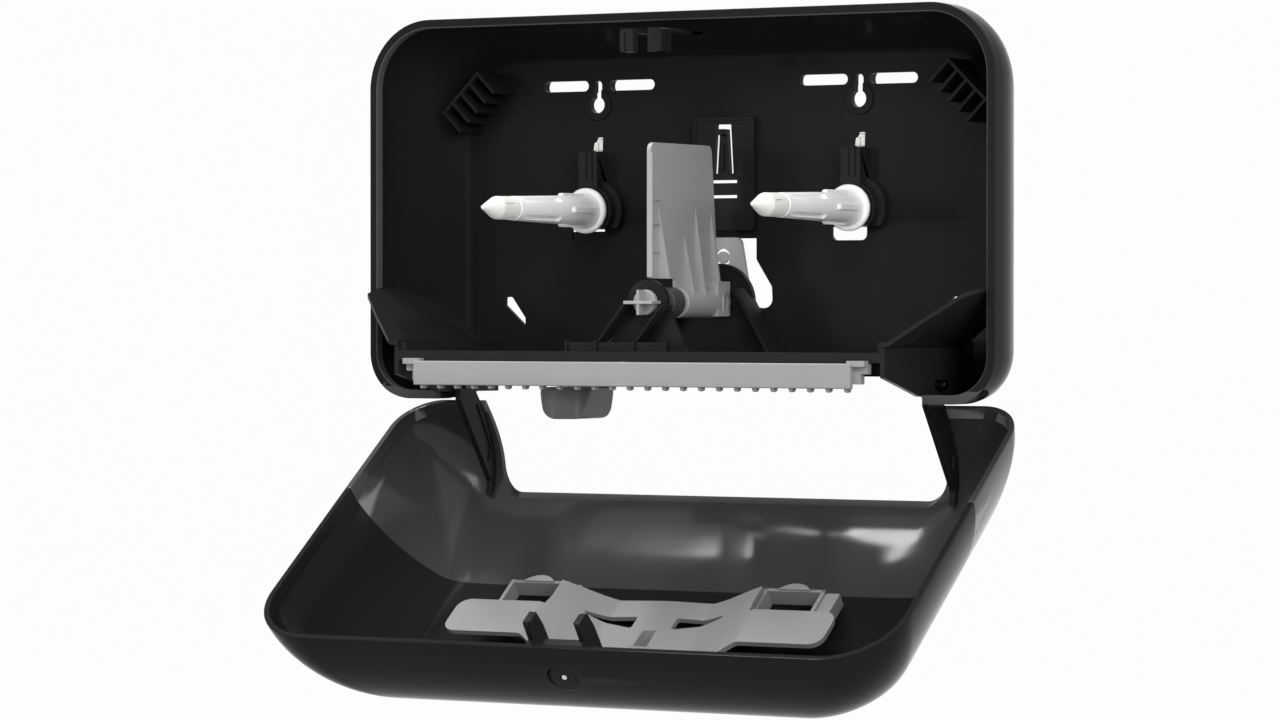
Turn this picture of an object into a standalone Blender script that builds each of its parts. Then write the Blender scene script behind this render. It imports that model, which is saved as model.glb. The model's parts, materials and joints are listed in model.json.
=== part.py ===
"""Wall dispenser for two small toilet rolls, shown with its cover hanging open.

X runs to the right, Y into the wall and Z up. The origin lies on the wall, at the
height of the two spindles and midway between them. Cover pieces are drawn as they
lie when the cover is shut, and an empty on the hinge axis then swings them open.
"""

import math

import bmesh
import bpy
from mathutils import Matrix, Vector

MM = 0.001

# Driving sizes of the whole dispenser
HALF_WIDTH = 175.0 * MM
BASE_BOTTOM = -95.0 * MM
BASE_TOP = 96.3 * MM
BASE_DEPTH = 66.0 * MM
COVER_DEPTH = 62.9 * MM
LOCK_SHARE = 0.326
LOWER_CORNER = 23.0 * MM
UPPER_CORNER = 35.0 * MM
SPINDLE_MARGIN = 100.5 * MM
SPINDLE_X = HALF_WIDTH - SPINDLE_MARGIN
OPEN_ANGLE = math.radians(126.0)

# Running gaps and helpers that every piece shares
GAP = 0.3 * MM
OVERRUN = 1.0 * MM
MERGE = 0.003 * MM
LOCK_Y = -BASE_DEPTH - GAP - COVER_DEPTH * LOCK_SHARE
CORNER_STEPS = 7
SIDES = 24
SMOOTH_ANGLE = math.radians(32.0)

# Hinge axis of the cover, behind and below the base's rim
HINGE_Y = -47.2 * MM
HINGE_Z_OFFSET = 9.0 * MM
HINGE_Z = BASE_BOTTOM + HINGE_Z_OFFSET
HINGE_SWEEP = 19.0 * MM
HINGE_PIN_RADIUS = 2.5 * MM
HINGE_EYE_RADIUS = 5.5 * MM
HINGE_PIN_HEAD = 4.0 * MM
HINGE_PIN_HEAD_LENGTH = 1.6 * MM


def mesh_from(bm, name="shape"):
    """A mesh datablock with every face turned outward."""
    bmesh.ops.recalc_face_normals(bm, faces=bm.faces)
    mesh = bpy.data.meshes.new(name)
    bm.to_mesh(mesh)
    bm.free()
    return mesh


def loft(rings, closed=False):
    """A skin through rings of equal point counts, capped at both ends or closed on itself."""
    bm = bmesh.new()
    loops = [[bm.verts.new(point) for point in ring] for ring in rings]
    count = len(loops[0])
    pairs = list(zip(loops, loops[1:]))
    if closed:
        pairs.append((loops[-1], loops[0]))
    for first, second in pairs:
        for i in range(count):
            j = (i + 1) % count
            bm.faces.new((first[i], first[j], second[j], second[i]))
    if not closed:
        bm.faces.new(loops[0])
        bm.faces.new(loops[-1])
    return mesh_from(bm)


def place(axis, a, b, along):
    """The point with plane coordinates a and b, at a distance along the given axis."""
    if axis == "X":
        return Vector((along, a, b))
    if axis == "Y":
        return Vector((a, along, b))
    return Vector((a, b, along))


def prism(axis, outline, start, end):
    """An outline drawn across an axis and extruded along it."""
    return loft([[place(axis, a, b, along) for a, b in outline] for along in (start, end)])


def box(x0, x1, y0, y1, z0, z1):
    return prism("Y", [(x0, z0), (x1, z0), (x1, z1), (x0, z1)], y0, y1)


def circle(a, b, radius, sides=SIDES):
    turns = [2 * math.pi * i / sides for i in range(sides)]
    return [(a + radius * math.cos(turn), b + radius * math.sin(turn)) for turn in turns]


def rod(axis, a, b, radius, start, end, sides=SIDES):
    return prism(axis, circle(a, b, radius, sides), start, end)


def turned(axis, a, b, profile, sides=SIDES):
    """A solid turned round an axis through (a, b), from pairs of place and radius."""
    return loft([[place(axis, p, q, along) for p, q in circle(a, b, radius, sides)]
                 for along, radius in profile])


def rounded(corners, steps=4):
    """An outline whose corners, given as (a, b, radius), are rounded where the radius isn't zero."""
    points = []
    count = len(corners)
    for i, (a, b, radius) in enumerate(corners):
        here = Vector((a, b))
        if radius == 0:
            points.append((a, b))
            continue
        before = (Vector(corners[i - 1][:2]) - here).normalized()
        after = (Vector(corners[(i + 1) % count][:2]) - here).normalized()
        half = before.angle(after) / 2
        centre = here + (before + after).normalized() * (radius / math.sin(half))
        start = here + before * (radius / math.tan(half)) - centre
        end = here + after * (radius / math.tan(half)) - centre
        turn = start.angle_signed(end)
        for step in range(steps + 1):
            spoke = start.copy()
            spoke.rotate(Matrix.Rotation(-turn * step / steps, 2))
            points.append(tuple(centre + spoke))
    return points


def mirrored(points):
    """A half outline from the centre line outward and back, with its mirror image added."""
    return points + [(-a, b) for a, b in reversed(points)]


def combined(mesh, others, operation):
    """The mesh after an exact Boolean with each of the other meshes in turn."""
    target = bpy.data.objects.new("target", mesh)
    bpy.context.collection.objects.link(target)
    for other in others:
        tool = bpy.data.objects.new("tool", other)
        bpy.context.collection.objects.link(tool)
        modifier = target.modifiers.new("combine", "BOOLEAN")
        modifier.operation = operation
        modifier.solver = "EXACT"
        modifier.object = tool
        bpy.context.view_layer.update()
        graph = bpy.context.evaluated_depsgraph_get()
        result = bpy.data.meshes.new_from_object(target.evaluated_get(graph))
        target.modifiers.clear()
        target.data = result
        bpy.data.objects.remove(tool)
    result = target.data
    bpy.data.objects.remove(target)
    return result


def cut(mesh, *tools):
    return combined(mesh, tools, "DIFFERENCE")


def join(mesh, *others):
    return combined(mesh, others, "UNION")


def common(mesh, other):
    return combined(mesh, [other], "INTERSECT")


def material(name, colour, roughness, metallic=0.0, alpha=1.0):
    made = bpy.data.materials.new(name)
    made.use_nodes = True
    shader = made.node_tree.nodes["Principled BSDF"]
    shader.inputs["Base Color"].default_value = (*colour, 1.0)
    shader.inputs["Roughness"].default_value = roughness
    shader.inputs["Metallic"].default_value = metallic
    shader.inputs["Alpha"].default_value = alpha
    return made


BLACK = (0.022, 0.022, 0.022)
SMOKE = (0.045, 0.045, 0.045)
CHARCOAL = (0.07, 0.07, 0.07)
GREY = (0.27, 0.27, 0.27)
WHITE = (0.78, 0.78, 0.78)
CREAM = (0.74, 0.73, 0.68)
STEEL = (0.5, 0.5, 0.5)


def node(name, mesh, colour, roughness, origin=(0, 0, 0), parent=None, metallic=0.0, alpha=1.0):
    """One named piece, with its origin moved to the given point and its own material."""
    mesh.name = name
    mesh.transform(Matrix.Translation(-Vector(origin)))
    mesh.shade_smooth()
    mesh.set_sharp_from_angle(angle=SMOOTH_ANGLE)
    mesh.materials.clear()
    mesh.materials.append(material(name, colour, roughness, metallic, alpha))
    piece = bpy.data.objects.new(name, mesh)
    piece.location = origin
    bpy.context.collection.objects.link(piece)
    if parent:
        piece.parent = parent
        piece.location = Vector(origin) - parent.location
    return piece


# Base housing: a tray with tapered walls behind its rim
RIM_WIDTH = 4.4 * MM
BASE_WALL = 3.0 * MM
RIM_BAND = 5.0 * MM
TAPER_START = 52.0 * MM
SIDE_TAPER = 30.0 * MM
TOP_TAPER = 24.0 * MM
BOTTOM_TAPER = 10.0 * MM
TAPER_POWER = 1.4
PLATE_FACE = -8.0 * MM
PLATE_BACK = -5.4 * MM
BASE_STATION_SHARES = (0.04, 0.12, 0.25, 0.4, 0.58, 0.79)
THROAT_MARGIN = 38.6 * MM
THROAT_HALF_WIDTH = HALF_WIDTH - THROAT_MARGIN
THROAT_BACK = -30.0 * MM
THROAT_LIP_OFFSET = 12.0 * MM
THROAT_LIP = BASE_BOTTOM + THROAT_LIP_OFFSET


def rounded_frame(half_width, bottom, top, lower_radius, upper_radius, y):
    """The points of an upright rounded frame, facing along Y."""
    room = (top - bottom) / (lower_radius + upper_radius)
    if room < 1:
        lower_radius *= room
        upper_radius *= room
    corners = [
        (half_width - upper_radius, top - upper_radius, upper_radius, 0),
        (upper_radius - half_width, top - upper_radius, upper_radius, 1),
        (lower_radius - half_width, bottom + lower_radius, lower_radius, 2),
        (half_width - lower_radius, bottom + lower_radius, lower_radius, 3),
    ]
    points = []
    for x, z, radius, quarter in corners:
        for step in range(CORNER_STEPS + 1):
            turn = (quarter + step / CORNER_STEPS) * math.pi / 2
            points.append(Vector((x + radius * math.cos(turn), y, z + radius * math.sin(turn))))
    return points


def base_ring(y, inset):
    """The outline of the base at a depth y, drawn in by an inset."""
    reach = min(max(0.0, (y + TAPER_START) / TAPER_START), 1.0)
    draw = 1 - (1 - reach ** TAPER_POWER) ** (1 / TAPER_POWER)
    side = inset + SIDE_TAPER * draw
    return rounded_frame(HALF_WIDTH - side, BASE_BOTTOM + BOTTOM_TAPER * draw + inset,
                         BASE_TOP - TOP_TAPER * draw - inset, LOWER_CORNER - inset,
                         UPPER_CORNER - inset, y)


def tray():
    stations = [-BASE_DEPTH * share for share in BASE_STATION_SHARES]
    outer = [base_ring(y, 0) for y in [0.0] + stations + [-BASE_DEPTH]]
    band = RIM_BAND - BASE_DEPTH
    inner = [base_ring(-BASE_DEPTH, RIM_WIDTH), base_ring(band, RIM_WIDTH)]
    inner += [base_ring(band + OVERRUN, BASE_WALL)]
    inner += [base_ring(y, BASE_WALL) for y in reversed(stations) if y < PLATE_FACE and y > band + OVERRUN]
    inner += [base_ring(PLATE_FACE, BASE_WALL)]
    pocket = [base_ring(PLATE_BACK, BASE_WALL), base_ring(0.0, BASE_WALL)]
    return loft(pocket + outer + inner)


# Screw slots and keyholes in the base plate, with the pads behind them that meet the wall
SLOT_INNER_NEAR_OFFSET = 33.05 * MM
SLOT_INNER_NEAR = SPINDLE_X - SLOT_INNER_NEAR_OFFSET
SLOT_INNER_FAR_OFFSET = 6.65 * MM
SLOT_INNER_FAR = SPINDLE_X - SLOT_INNER_FAR_OFFSET
SLOT_OUTER_NEAR_OFFSET = 5.4 * MM
SLOT_OUTER_NEAR = SPINDLE_X + SLOT_OUTER_NEAR_OFFSET
SLOT_OUTER_FAR_OFFSET = 31.8 * MM
SLOT_OUTER_FAR = SPINDLE_X + SLOT_OUTER_FAR_OFFSET
SLOT_HEIGHT = 5.3 * MM
SLOT_Z_OFFSET = 32.5 * MM
SLOT_Z = BASE_TOP - SLOT_Z_OFFSET
PAD_MARGIN = 3.0 * MM
PAD_RISE = 9.0 * MM
KEYHOLE_X_OFFSET = 0.2 * MM
KEYHOLE_X = SPINDLE_X - KEYHOLE_X_OFFSET
KEYHOLE_ROUND = 4.2 * MM
KEYHOLE_NECK = 2.2 * MM
KEYHOLE_TOP_OFFSET = 2.5 * MM
KEYHOLE_TOP = SLOT_Z + KEYHOLE_TOP_OFFSET
KEYHOLE_Z_OFFSET = 9.8 * MM
KEYHOLE_Z = SLOT_Z - KEYHOLE_Z_OFFSET
KEYHOLE_BOSS = 9.0 * MM
BOSS_RISE = 1.5 * MM
SLOT_CLEARANCE = 1.5 * MM
KEYHOLE_CLEARANCE = 7.2 * MM
NECK_CLEARANCE = 4.0 * MM
KEYHOLE_WALL_BACK = -7.2 * MM
ORIGIN_PAD_TOP = 4.0 * MM
ORIGIN_PAD_BOTTOM = -9.0 * MM
LOWER_PAD_X_OFFSET = 75.0 * MM
LOWER_PAD_X = HALF_WIDTH - LOWER_PAD_X_OFFSET
LOWER_PAD_Z_OFFSET = 29.0 * MM
LOWER_PAD_Z = BASE_BOTTOM + LOWER_PAD_Z_OFFSET
LOWER_PAD_RADIUS = 7.0 * MM

# Openings in the base plate round the spindles, the flap and the centre panel
HUB_SLOT_WIDTH = 19.5 * MM
HUB_SLOT_SHIFT = 6.0 * MM
HUB_SLOT_TOP = -9.2 * MM
HUB_SLOT_BOTTOM = -15.7 * MM
HUB_SLOT_WEB_TOP = -10.3 * MM
HUB_SLOT_WEB_FACE = -6.6 * MM
HUB_SLOT_CORNER = 3.0 * MM
LATCH_HOLE_WIDTH = 6.0 * MM
LATCH_HOLE_BOTTOM = 30.5 * MM
LATCH_HOLE_TOP = 37.5 * MM
PANEL_HOLE_HALF_WIDTH = 9.0 * MM
PANEL_HOLE_BOTTOM = 5.2 * MM
PANEL_HOLE_TOP = 44.0 * MM
ARCH_OPENING_TOP = -14.4 * MM
ARCH_SHOULDER_X = 16.6 * MM
ARCH_SHOULDER_Z = -25.0 * MM
ARCH_KNEE_X = 25.3 * MM
ARCH_KNEE_Z = -38.5 * MM
ARCH_END_X = 25.9 * MM
ARCH_END_INNER_X = 15.2 * MM
ARCH_END_Z = -49.2 * MM
ARCH_END_ROUND = 4.6 * MM
ARCH_INNER_X = 13.4 * MM
ARCH_INNER_Z = -38.5 * MM
ARCH_TONGUE_X = 8.0 * MM
ARCH_TONGUE_Z = -31.5 * MM
ARCH_ROUND = 3.0 * MM
CORNER_HOLE_OUT_OFFSET = 45.2 * MM
CORNER_HOLE_OUT = HALF_WIDTH - CORNER_HOLE_OUT_OFFSET
CORNER_HOLE_IN_OFFSET = 12.0 * MM
CORNER_HOLE_IN = CORNER_HOLE_OUT - CORNER_HOLE_IN_OFFSET
CORNER_HOLE_TOP_OFFSET = 51.4 * MM
CORNER_HOLE_TOP = BASE_BOTTOM + CORNER_HOLE_TOP_OFFSET
CORNER_HOLE_BOTTOM_OFFSET = 14.9 * MM
CORNER_HOLE_BOTTOM = CORNER_HOLE_TOP - CORNER_HOLE_BOTTOM_OFFSET
CORNER_HOLE_WIDTH = 4.2 * MM

# Stiffening fins in the upper corners of the base
FIN_COUNT = 5
FIN_THICKNESS = 1.6 * MM
FIN_LENGTH = 14.0 * MM
FIN_FRONT = -30.0 * MM
FIN_LOW_X_OFFSET = 22.0 * MM
FIN_LOW_X = HALF_WIDTH - FIN_LOW_X_OFFSET
FIN_LOW_Z_OFFSET = 46.3 * MM
FIN_LOW_Z = BASE_TOP - FIN_LOW_Z_OFFSET
FIN_HIGH_X_OFFSET = 43.0 * MM
FIN_HIGH_X = HALF_WIDTH - FIN_HIGH_X_OFFSET
FIN_HIGH_Z_OFFSET = 25.8 * MM
FIN_HIGH_Z = BASE_TOP - FIN_HIGH_Z_OFFSET


def slot_outline(near, far, z, height, side):
    """A level slot with round ends, on the left or right side."""
    reach = height / 2
    points = []
    for x, first in ((far - reach, -90), (near + reach, 90)):
        for step in range(7):
            turn = math.radians(first + 180 * step / 6)
            points.append((side * (x + reach * math.cos(turn)), z + reach * math.sin(turn)))
    return points


def keyhole(side, start, end):
    neck = box(side * KEYHOLE_X - KEYHOLE_NECK, side * KEYHOLE_X + KEYHOLE_NECK, start, end,
               KEYHOLE_Z, KEYHOLE_TOP)
    return join(neck, rod("Y", side * KEYHOLE_X, KEYHOLE_Z, KEYHOLE_ROUND, start, end, 16))


def corner_fins(side):
    """Fins that point from an upper corner towards the middle, standing on one slanted web."""
    low = Vector((FIN_LOW_X, FIN_LOW_Z))
    high = Vector((FIN_HIGH_X, FIN_HIGH_Z))
    along = (high - low).normalized()
    inward = Vector((-along.y, along.x))
    if inward.x > 0:
        inward = -inward
    back = PLATE_FACE + OVERRUN

    def plate(corner, run, width_way, width):
        ends = [corner, corner + run, corner + run + width_way * width, corner + width_way * width]
        return prism("Y", [(side * p.x, p.y) for p in ends], FIN_FRONT, back)

    web = plate(low, high - low, -inward, FIN_THICKNESS)
    fins = []
    for i in range(FIN_COUNT):
        foot = low.lerp(high - along * FIN_THICKNESS, i / (FIN_COUNT - 1)) - inward * FIN_THICKNESS / 2
        fins.append(plate(foot, inward * FIN_LENGTH, along, FIN_THICKNESS))
    return join(web, *fins)


def hinge_relief():
    """Takes the lower front edge of the base off, where the cover's rim swings past."""
    steps = 8
    drop = math.asin((HINGE_Z - BASE_BOTTOM + OVERRUN) / HINGE_SWEEP)
    arc = []
    for step in range(steps + 1):
        turn = drop * step / steps
        arc.append((HINGE_Y - HINGE_SWEEP * math.cos(turn), HINGE_Z - HINGE_SWEEP * math.sin(turn)))
    ahead = -BASE_DEPTH - 2 * OVERRUN
    outline = [(ahead, HINGE_Z)] + arc + [(ahead, BASE_BOTTOM - OVERRUN)]
    return prism("X", outline, -HALF_WIDTH - OVERRUN, HALF_WIDTH + OVERRUN)


def base_housing():
    mesh = tray()
    pad_bottom = SLOT_Z - PAD_RISE
    pad_top = SLOT_Z + PAD_RISE
    pad_front = PLATE_BACK - OVERRUN
    parts = []
    for side in (-1, 1):
        near, far = sorted((side * (SLOT_INNER_NEAR - PAD_MARGIN), side * (SLOT_OUTER_FAR + PAD_MARGIN)))
        parts.append(box(near, far, pad_front, 0.0, pad_bottom, pad_top))
        parts.append(rod("Y", side * KEYHOLE_X, KEYHOLE_Z, KEYHOLE_BOSS, PLATE_FACE - BOSS_RISE, 0.0))
        parts.append(rod("Y", side * LOWER_PAD_X, LOWER_PAD_Z, LOWER_PAD_RADIUS, pad_front, 0.0, 16))
        parts.append(corner_fins(side))
    parts.append(box(-PANEL_HALF_WIDTH, PANEL_HALF_WIDTH, pad_front, 0.0, ORIGIN_PAD_BOTTOM, ORIGIN_PAD_TOP))
    mesh = join(mesh, *parts)
    front = PLATE_FACE - BOSS_RISE - OVERRUN
    cuts = []
    for side in (-1, 1):
        cuts.append(prism("Y", slot_outline(SLOT_INNER_NEAR, SLOT_INNER_FAR, SLOT_Z, SLOT_HEIGHT, side),
                          front, OVERRUN))
        cuts.append(prism("Y", slot_outline(SLOT_OUTER_NEAR, SLOT_OUTER_FAR, SLOT_Z, SLOT_HEIGHT, side),
                          front, OVERRUN))
        cuts.append(keyhole(side, front, OVERRUN))
        neck_x = side * KEYHOLE_X
        cuts.append(box(neck_x - NECK_CLEARANCE, neck_x + NECK_CLEARANCE, KEYHOLE_WALL_BACK,
                        OVERRUN, KEYHOLE_Z, KEYHOLE_TOP + SLOT_CLEARANCE))
        cuts.append(rod("Y", side * KEYHOLE_X, KEYHOLE_Z, KEYHOLE_CLEARANCE, KEYHOLE_WALL_BACK, OVERRUN))
        for near, far in ((SLOT_INNER_NEAR, SLOT_INNER_FAR), (SLOT_OUTER_NEAR, SLOT_OUTER_FAR)):
            relief = slot_outline(near - SLOT_CLEARANCE, far + SLOT_CLEARANCE, SLOT_Z,
                                  SLOT_HEIGHT + 2 * SLOT_CLEARANCE, side)
            cuts.append(prism("Y", relief, PLATE_BACK, OVERRUN))
        middle = side * SPINDLE_X - HUB_SLOT_SHIFT
        hub_slot = rounded([(middle - HUB_SLOT_WIDTH / 2, HUB_SLOT_TOP, 0),
                            (middle - HUB_SLOT_WIDTH / 2, HUB_SLOT_BOTTOM, HUB_SLOT_CORNER),
                            (middle + HUB_SLOT_WIDTH / 2, HUB_SLOT_BOTTOM, HUB_SLOT_CORNER),
                            (middle + HUB_SLOT_WIDTH / 2, HUB_SLOT_TOP, 0)])
        cuts.append(prism("Y", hub_slot, front, HUB_SLOT_WEB_FACE if side < 0 else OVERRUN))
        cuts.append(box(middle - HUB_SLOT_WIDTH / 2, middle + HUB_SLOT_WIDTH / 2, front, OVERRUN,
                        HUB_SLOT_WEB_TOP, HUB_SLOT_TOP))
        cuts.append(box(side * SPINDLE_X - LATCH_HOLE_WIDTH / 2, side * SPINDLE_X + LATCH_HOLE_WIDTH / 2,
                        front, OVERRUN, LATCH_HOLE_BOTTOM, LATCH_HOLE_TOP))
        slanted = [(side * CORNER_HOLE_OUT, CORNER_HOLE_TOP),
                   (side * (CORNER_HOLE_OUT - CORNER_HOLE_WIDTH), CORNER_HOLE_TOP),
                   (side * CORNER_HOLE_IN, CORNER_HOLE_BOTTOM + CORNER_HOLE_WIDTH),
                   (side * CORNER_HOLE_IN, CORNER_HOLE_BOTTOM),
                   (side * CORNER_HOLE_OUT, CORNER_HOLE_TOP - CORNER_HOLE_WIDTH)]
        cuts.append(prism("Y", slanted, front, OVERRUN))
    cuts.append(box(-PANEL_HOLE_HALF_WIDTH, PANEL_HOLE_HALF_WIDTH, front, OVERRUN,
                    PANEL_HOLE_BOTTOM, PANEL_HOLE_TOP))
    half_arch = [(ARCH_TONGUE_X, ARCH_TONGUE_Z), (ARCH_INNER_X, ARCH_INNER_Z), (ARCH_END_INNER_X, ARCH_END_Z),
                 (ARCH_END_X, ARCH_END_Z), (ARCH_KNEE_X, ARCH_KNEE_Z), (ARCH_SHOULDER_X, ARCH_SHOULDER_Z),
                 (ARCH_SHOULDER_X, ARCH_OPENING_TOP)]
    radii = [ARCH_ROUND, ARCH_ROUND, ARCH_END_ROUND, ARCH_END_ROUND, ARCH_ROUND, ARCH_ROUND, 0]
    both = [(x, z, r) for (x, z), r in zip(half_arch, radii)]
    both += [(-x, z, r) for x, z, r in reversed(both)]
    cuts.append(prism("Y", rounded(both, 3), front, OVERRUN))
    cuts.append(box(-THROAT_HALF_WIDTH, THROAT_HALF_WIDTH, -BASE_DEPTH - OVERRUN, THROAT_BACK,
                    BASE_BOTTOM - OVERRUN, FLOOR_TOP))
    cuts.append(box(-THROAT_HALF_WIDTH, THROAT_HALF_WIDTH, THROAT_BACK - OVERRUN, OVERRUN,
                    BASE_BOTTOM - OVERRUN, THROAT_LIP))
    cuts.append(hinge_relief())
    return node("base_housing", cut(mesh, *cuts), BLACK, 0.3)


# Centre panel: a raised insert with a sprung tongue and two level slots
PANEL_HALF_WIDTH = 17.3 * MM
PANEL_TOP = 46.3 * MM
PANEL_BOTTOM = -10.3 * MM
PANEL_FRONT = -12.0 * MM
TONGUE_BOTTOM = 18.0 * MM
TONGUE_TOP = 42.6 * MM
TONGUE_SLOT_FOOT = 5.6 * MM
TONGUE_SLOT_HEAD = 4.2 * MM
TONGUE_FOOT = 3.4 * MM
TONGUE_HEAD = 2.0 * MM
TONGUE_TIP = 40.2 * MM
PANEL_SLOT_HALF_WIDTH = 7.6 * MM
PANEL_SLOT_HEIGHT = 1.5 * MM
PANEL_SLOT_LEVELS = (14.0 * MM, 6.5 * MM)
TONGUE_HOOK = 2.4 * MM


def centre_panel():
    mesh = box(-PANEL_HALF_WIDTH, PANEL_HALF_WIDTH, PANEL_FRONT, PLATE_FACE - GAP, PANEL_BOTTOM, PANEL_TOP)
    front = PANEL_FRONT - OVERRUN
    half = [(TONGUE_FOOT, TONGUE_BOTTOM), (TONGUE_SLOT_FOOT, TONGUE_BOTTOM), (TONGUE_SLOT_HEAD, TONGUE_TOP)]
    around = mirrored(half) + [(-TONGUE_HEAD, TONGUE_TIP), (TONGUE_HEAD, TONGUE_TIP)]
    cuts = [prism("Y", around, front, PLATE_FACE)]
    for level in PANEL_SLOT_LEVELS:
        cuts.append(box(-PANEL_SLOT_HALF_WIDTH, PANEL_SLOT_HALF_WIDTH, front, PLATE_FACE,
                        level - PANEL_SLOT_HEIGHT / 2, level + PANEL_SLOT_HEIGHT / 2))
    mesh = cut(mesh, *cuts)
    hook = box(-TONGUE_HEAD, TONGUE_HEAD, PANEL_FRONT - TONGUE_HOOK, PANEL_FRONT + OVERRUN,
               TONGUE_TIP - TONGUE_HOOK, TONGUE_TIP)
    return node("centre_panel", join(mesh, hook), BLACK, 0.4)


# Hub rings on the plate, each with an upright tab
HUB_RADIUS = 12.8 * MM
HUB_STEP_RADIUS = 16.0 * MM
HUB_STEP = -12.5 * MM
HUB_FLAT = -8.7 * MM
HUB_FRONT = -17.5 * MM
HUB_BORE = 5.4 * MM
TAB_HALF_WIDTH = 5.4 * MM
TAB_TOP = 30.0 * MM
TAB_FOOT = 7.4 * MM
TAB_FRONT = -18.5 * MM


def hub_ring(name, side):
    x = side * SPINDLE_X
    back = PLATE_FACE - GAP
    ring = turned("Y", x, 0.0, [(HUB_FRONT, HUB_RADIUS), (HUB_STEP, HUB_RADIUS), (HUB_STEP, HUB_STEP_RADIUS),
                                (back, HUB_STEP_RADIUS)], 32)
    below = box(x - HUB_STEP_RADIUS - OVERRUN, x + HUB_STEP_RADIUS + OVERRUN, HUB_FRONT - OVERRUN,
                PLATE_FACE, -HUB_STEP_RADIUS - OVERRUN, HUB_FLAT)
    tab = box(x - TAB_HALF_WIDTH, x + TAB_HALF_WIDTH, TAB_FRONT, back, TAB_FOOT, TAB_TOP)
    bore = rod("Y", x, 0.0, HUB_BORE, TAB_FRONT - OVERRUN, PLATE_BACK)
    return node(name, cut(join(ring, tab), bore, below), BLACK, 0.35)


# Roll spindles: flange, ribbed and tapered shaft, axle in the hub ring, and a separate tip
FLANGE_RADIUS = 11.5 * MM
FLANGE_BACK = -18.9 * MM
FLANGE_FRONT = -21.5 * MM
AXLE_RADIUS = 5.0 * MM
SHAFT_BASE_RADIUS = 7.7 * MM
SHAFT_END_RADIUS = 6.0 * MM
SPINDLE_RIB_HEIGHT = 8.5 * MM
SPINDLE_RIB_HALF_WIDTH = 1.3 * MM
SPINDLE_RIB_END = -46.0 * MM
TIP_START = -93.0 * MM
TIP_END = -121.1 * MM
TIP_BASE_RADIUS = 5.9 * MM
TIP_SHOULDER_SHARE = 0.54
TIP_SHOULDER_RADIUS = 5.7 * MM
TIP_POINT_RADIUS = 0.8 * MM


def spindle(name, side):
    x = side * SPINDLE_X
    profile = [(PLATE_FACE - GAP, AXLE_RADIUS), (FLANGE_BACK, AXLE_RADIUS), (FLANGE_BACK, FLANGE_RADIUS),
               (FLANGE_FRONT, FLANGE_RADIUS), (FLANGE_FRONT, SHAFT_BASE_RADIUS),
               (TIP_START, SHAFT_END_RADIUS)]
    mesh = turned("Y", x, 0.0, profile)
    level = box(x - SPINDLE_RIB_HEIGHT, x + SPINDLE_RIB_HEIGHT, SPINDLE_RIB_END, FLANGE_FRONT + OVERRUN,
                -SPINDLE_RIB_HALF_WIDTH, SPINDLE_RIB_HALF_WIDTH)
    upright = box(x - SPINDLE_RIB_HALF_WIDTH, x + SPINDLE_RIB_HALF_WIDTH, SPINDLE_RIB_END,
                  FLANGE_FRONT + OVERRUN, -SPINDLE_RIB_HEIGHT, SPINDLE_RIB_HEIGHT)
    return node(name, join(mesh, level, upright), WHITE, 0.35, origin=(x, FLANGE_BACK, 0.0))


def spindle_tip(name, side):
    x = side * SPINDLE_X
    start = TIP_START - GAP
    shoulder = start + (TIP_END - start) * TIP_SHOULDER_SHARE
    profile = [(start, TIP_BASE_RADIUS), (shoulder, TIP_SHOULDER_RADIUS), (TIP_END, TIP_POINT_RADIUS)]
    return node(name, turned("Y", x, 0.0, profile), CREAM, 0.4, origin=(x, FLANGE_BACK, 0.0))


# Spindle latches, seen through the holes above the tabs
LATCH_TOP = 35.0 * MM
LATCH_BACK = -1.0 * MM


def spindle_latch(name, side):
    x = side * SPINDLE_X
    reach = LATCH_HOLE_WIDTH / 2 - GAP
    mesh = box(x - reach, x + reach, PLATE_FACE, LATCH_BACK, LATCH_HOLE_BOTTOM + GAP, LATCH_TOP)
    return node(name, mesh, CREAM, 0.45)


# Chute frame: front fence, floor with two paper throats, end cheeks and slanted wings
CHUTE_THICKNESS = 2.0 * MM
CHEEK_OUTER_OFFSET = 0.4 * MM
CHEEK_OUTER = THROAT_HALF_WIDTH - CHEEK_OUTER_OFFSET
CHEEK_INNER_OFFSET = 2.4 * MM
CHEEK_INNER = CHEEK_OUTER - CHEEK_INNER_OFFSET
FENCE_HALF_WIDTH = CHEEK_OUTER - CHUTE_THICKNESS
FLOOR_HALF_WIDTH_OFFSET = 0.2 * MM
FLOOR_HALF_WIDTH = CHEEK_INNER + FLOOR_HALF_WIDTH_OFFSET
FENCE_FRONT_OFFSET = 38.0 * MM
FENCE_FRONT = -BASE_DEPTH - FENCE_FRONT_OFFSET
FENCE_BACK_OFFSET = 2.5 * MM
FENCE_BACK = FENCE_FRONT + FENCE_BACK_OFFSET
FLOOR_TOP_OFFSET = 22.0 * MM
FLOOR_TOP = BASE_BOTTOM + FLOOR_TOP_OFFSET
FLOOR_BOTTOM = FLOOR_TOP - CHUTE_THICKNESS
FENCE_TOP_OFFSET = 2.8 * MM
FENCE_TOP = FLOOR_TOP + FENCE_TOP_OFFSET
CHEEK_TOP_OFFSET = 8.0 * MM
CHEEK_TOP = FLOOR_TOP + CHEEK_TOP_OFFSET
CHEEK_FRONT_BOTTOM_OFFSET = 13.0 * MM
CHEEK_FRONT_BOTTOM = BASE_BOTTOM + CHEEK_FRONT_BOTTOM_OFFSET
CHEEK_RIM_BOTTOM_OFFSET = 3.6 * MM
CHEEK_RIM_BOTTOM = BASE_BOTTOM + CHEEK_RIM_BOTTOM_OFFSET
CHEEK_BACK_BOTTOM_OFFSET = 7.0 * MM
CHEEK_BACK_BOTTOM = BASE_BOTTOM + CHEEK_BACK_BOTTOM_OFFSET
CHEEK_BACK = PLATE_FACE - GAP
OPENING_INNER = 24.0 * MM
OPENING_OUTER_OFFSET = 6.6 * MM
OPENING_OUTER = CHEEK_INNER - OPENING_OUTER_OFFSET
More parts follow.
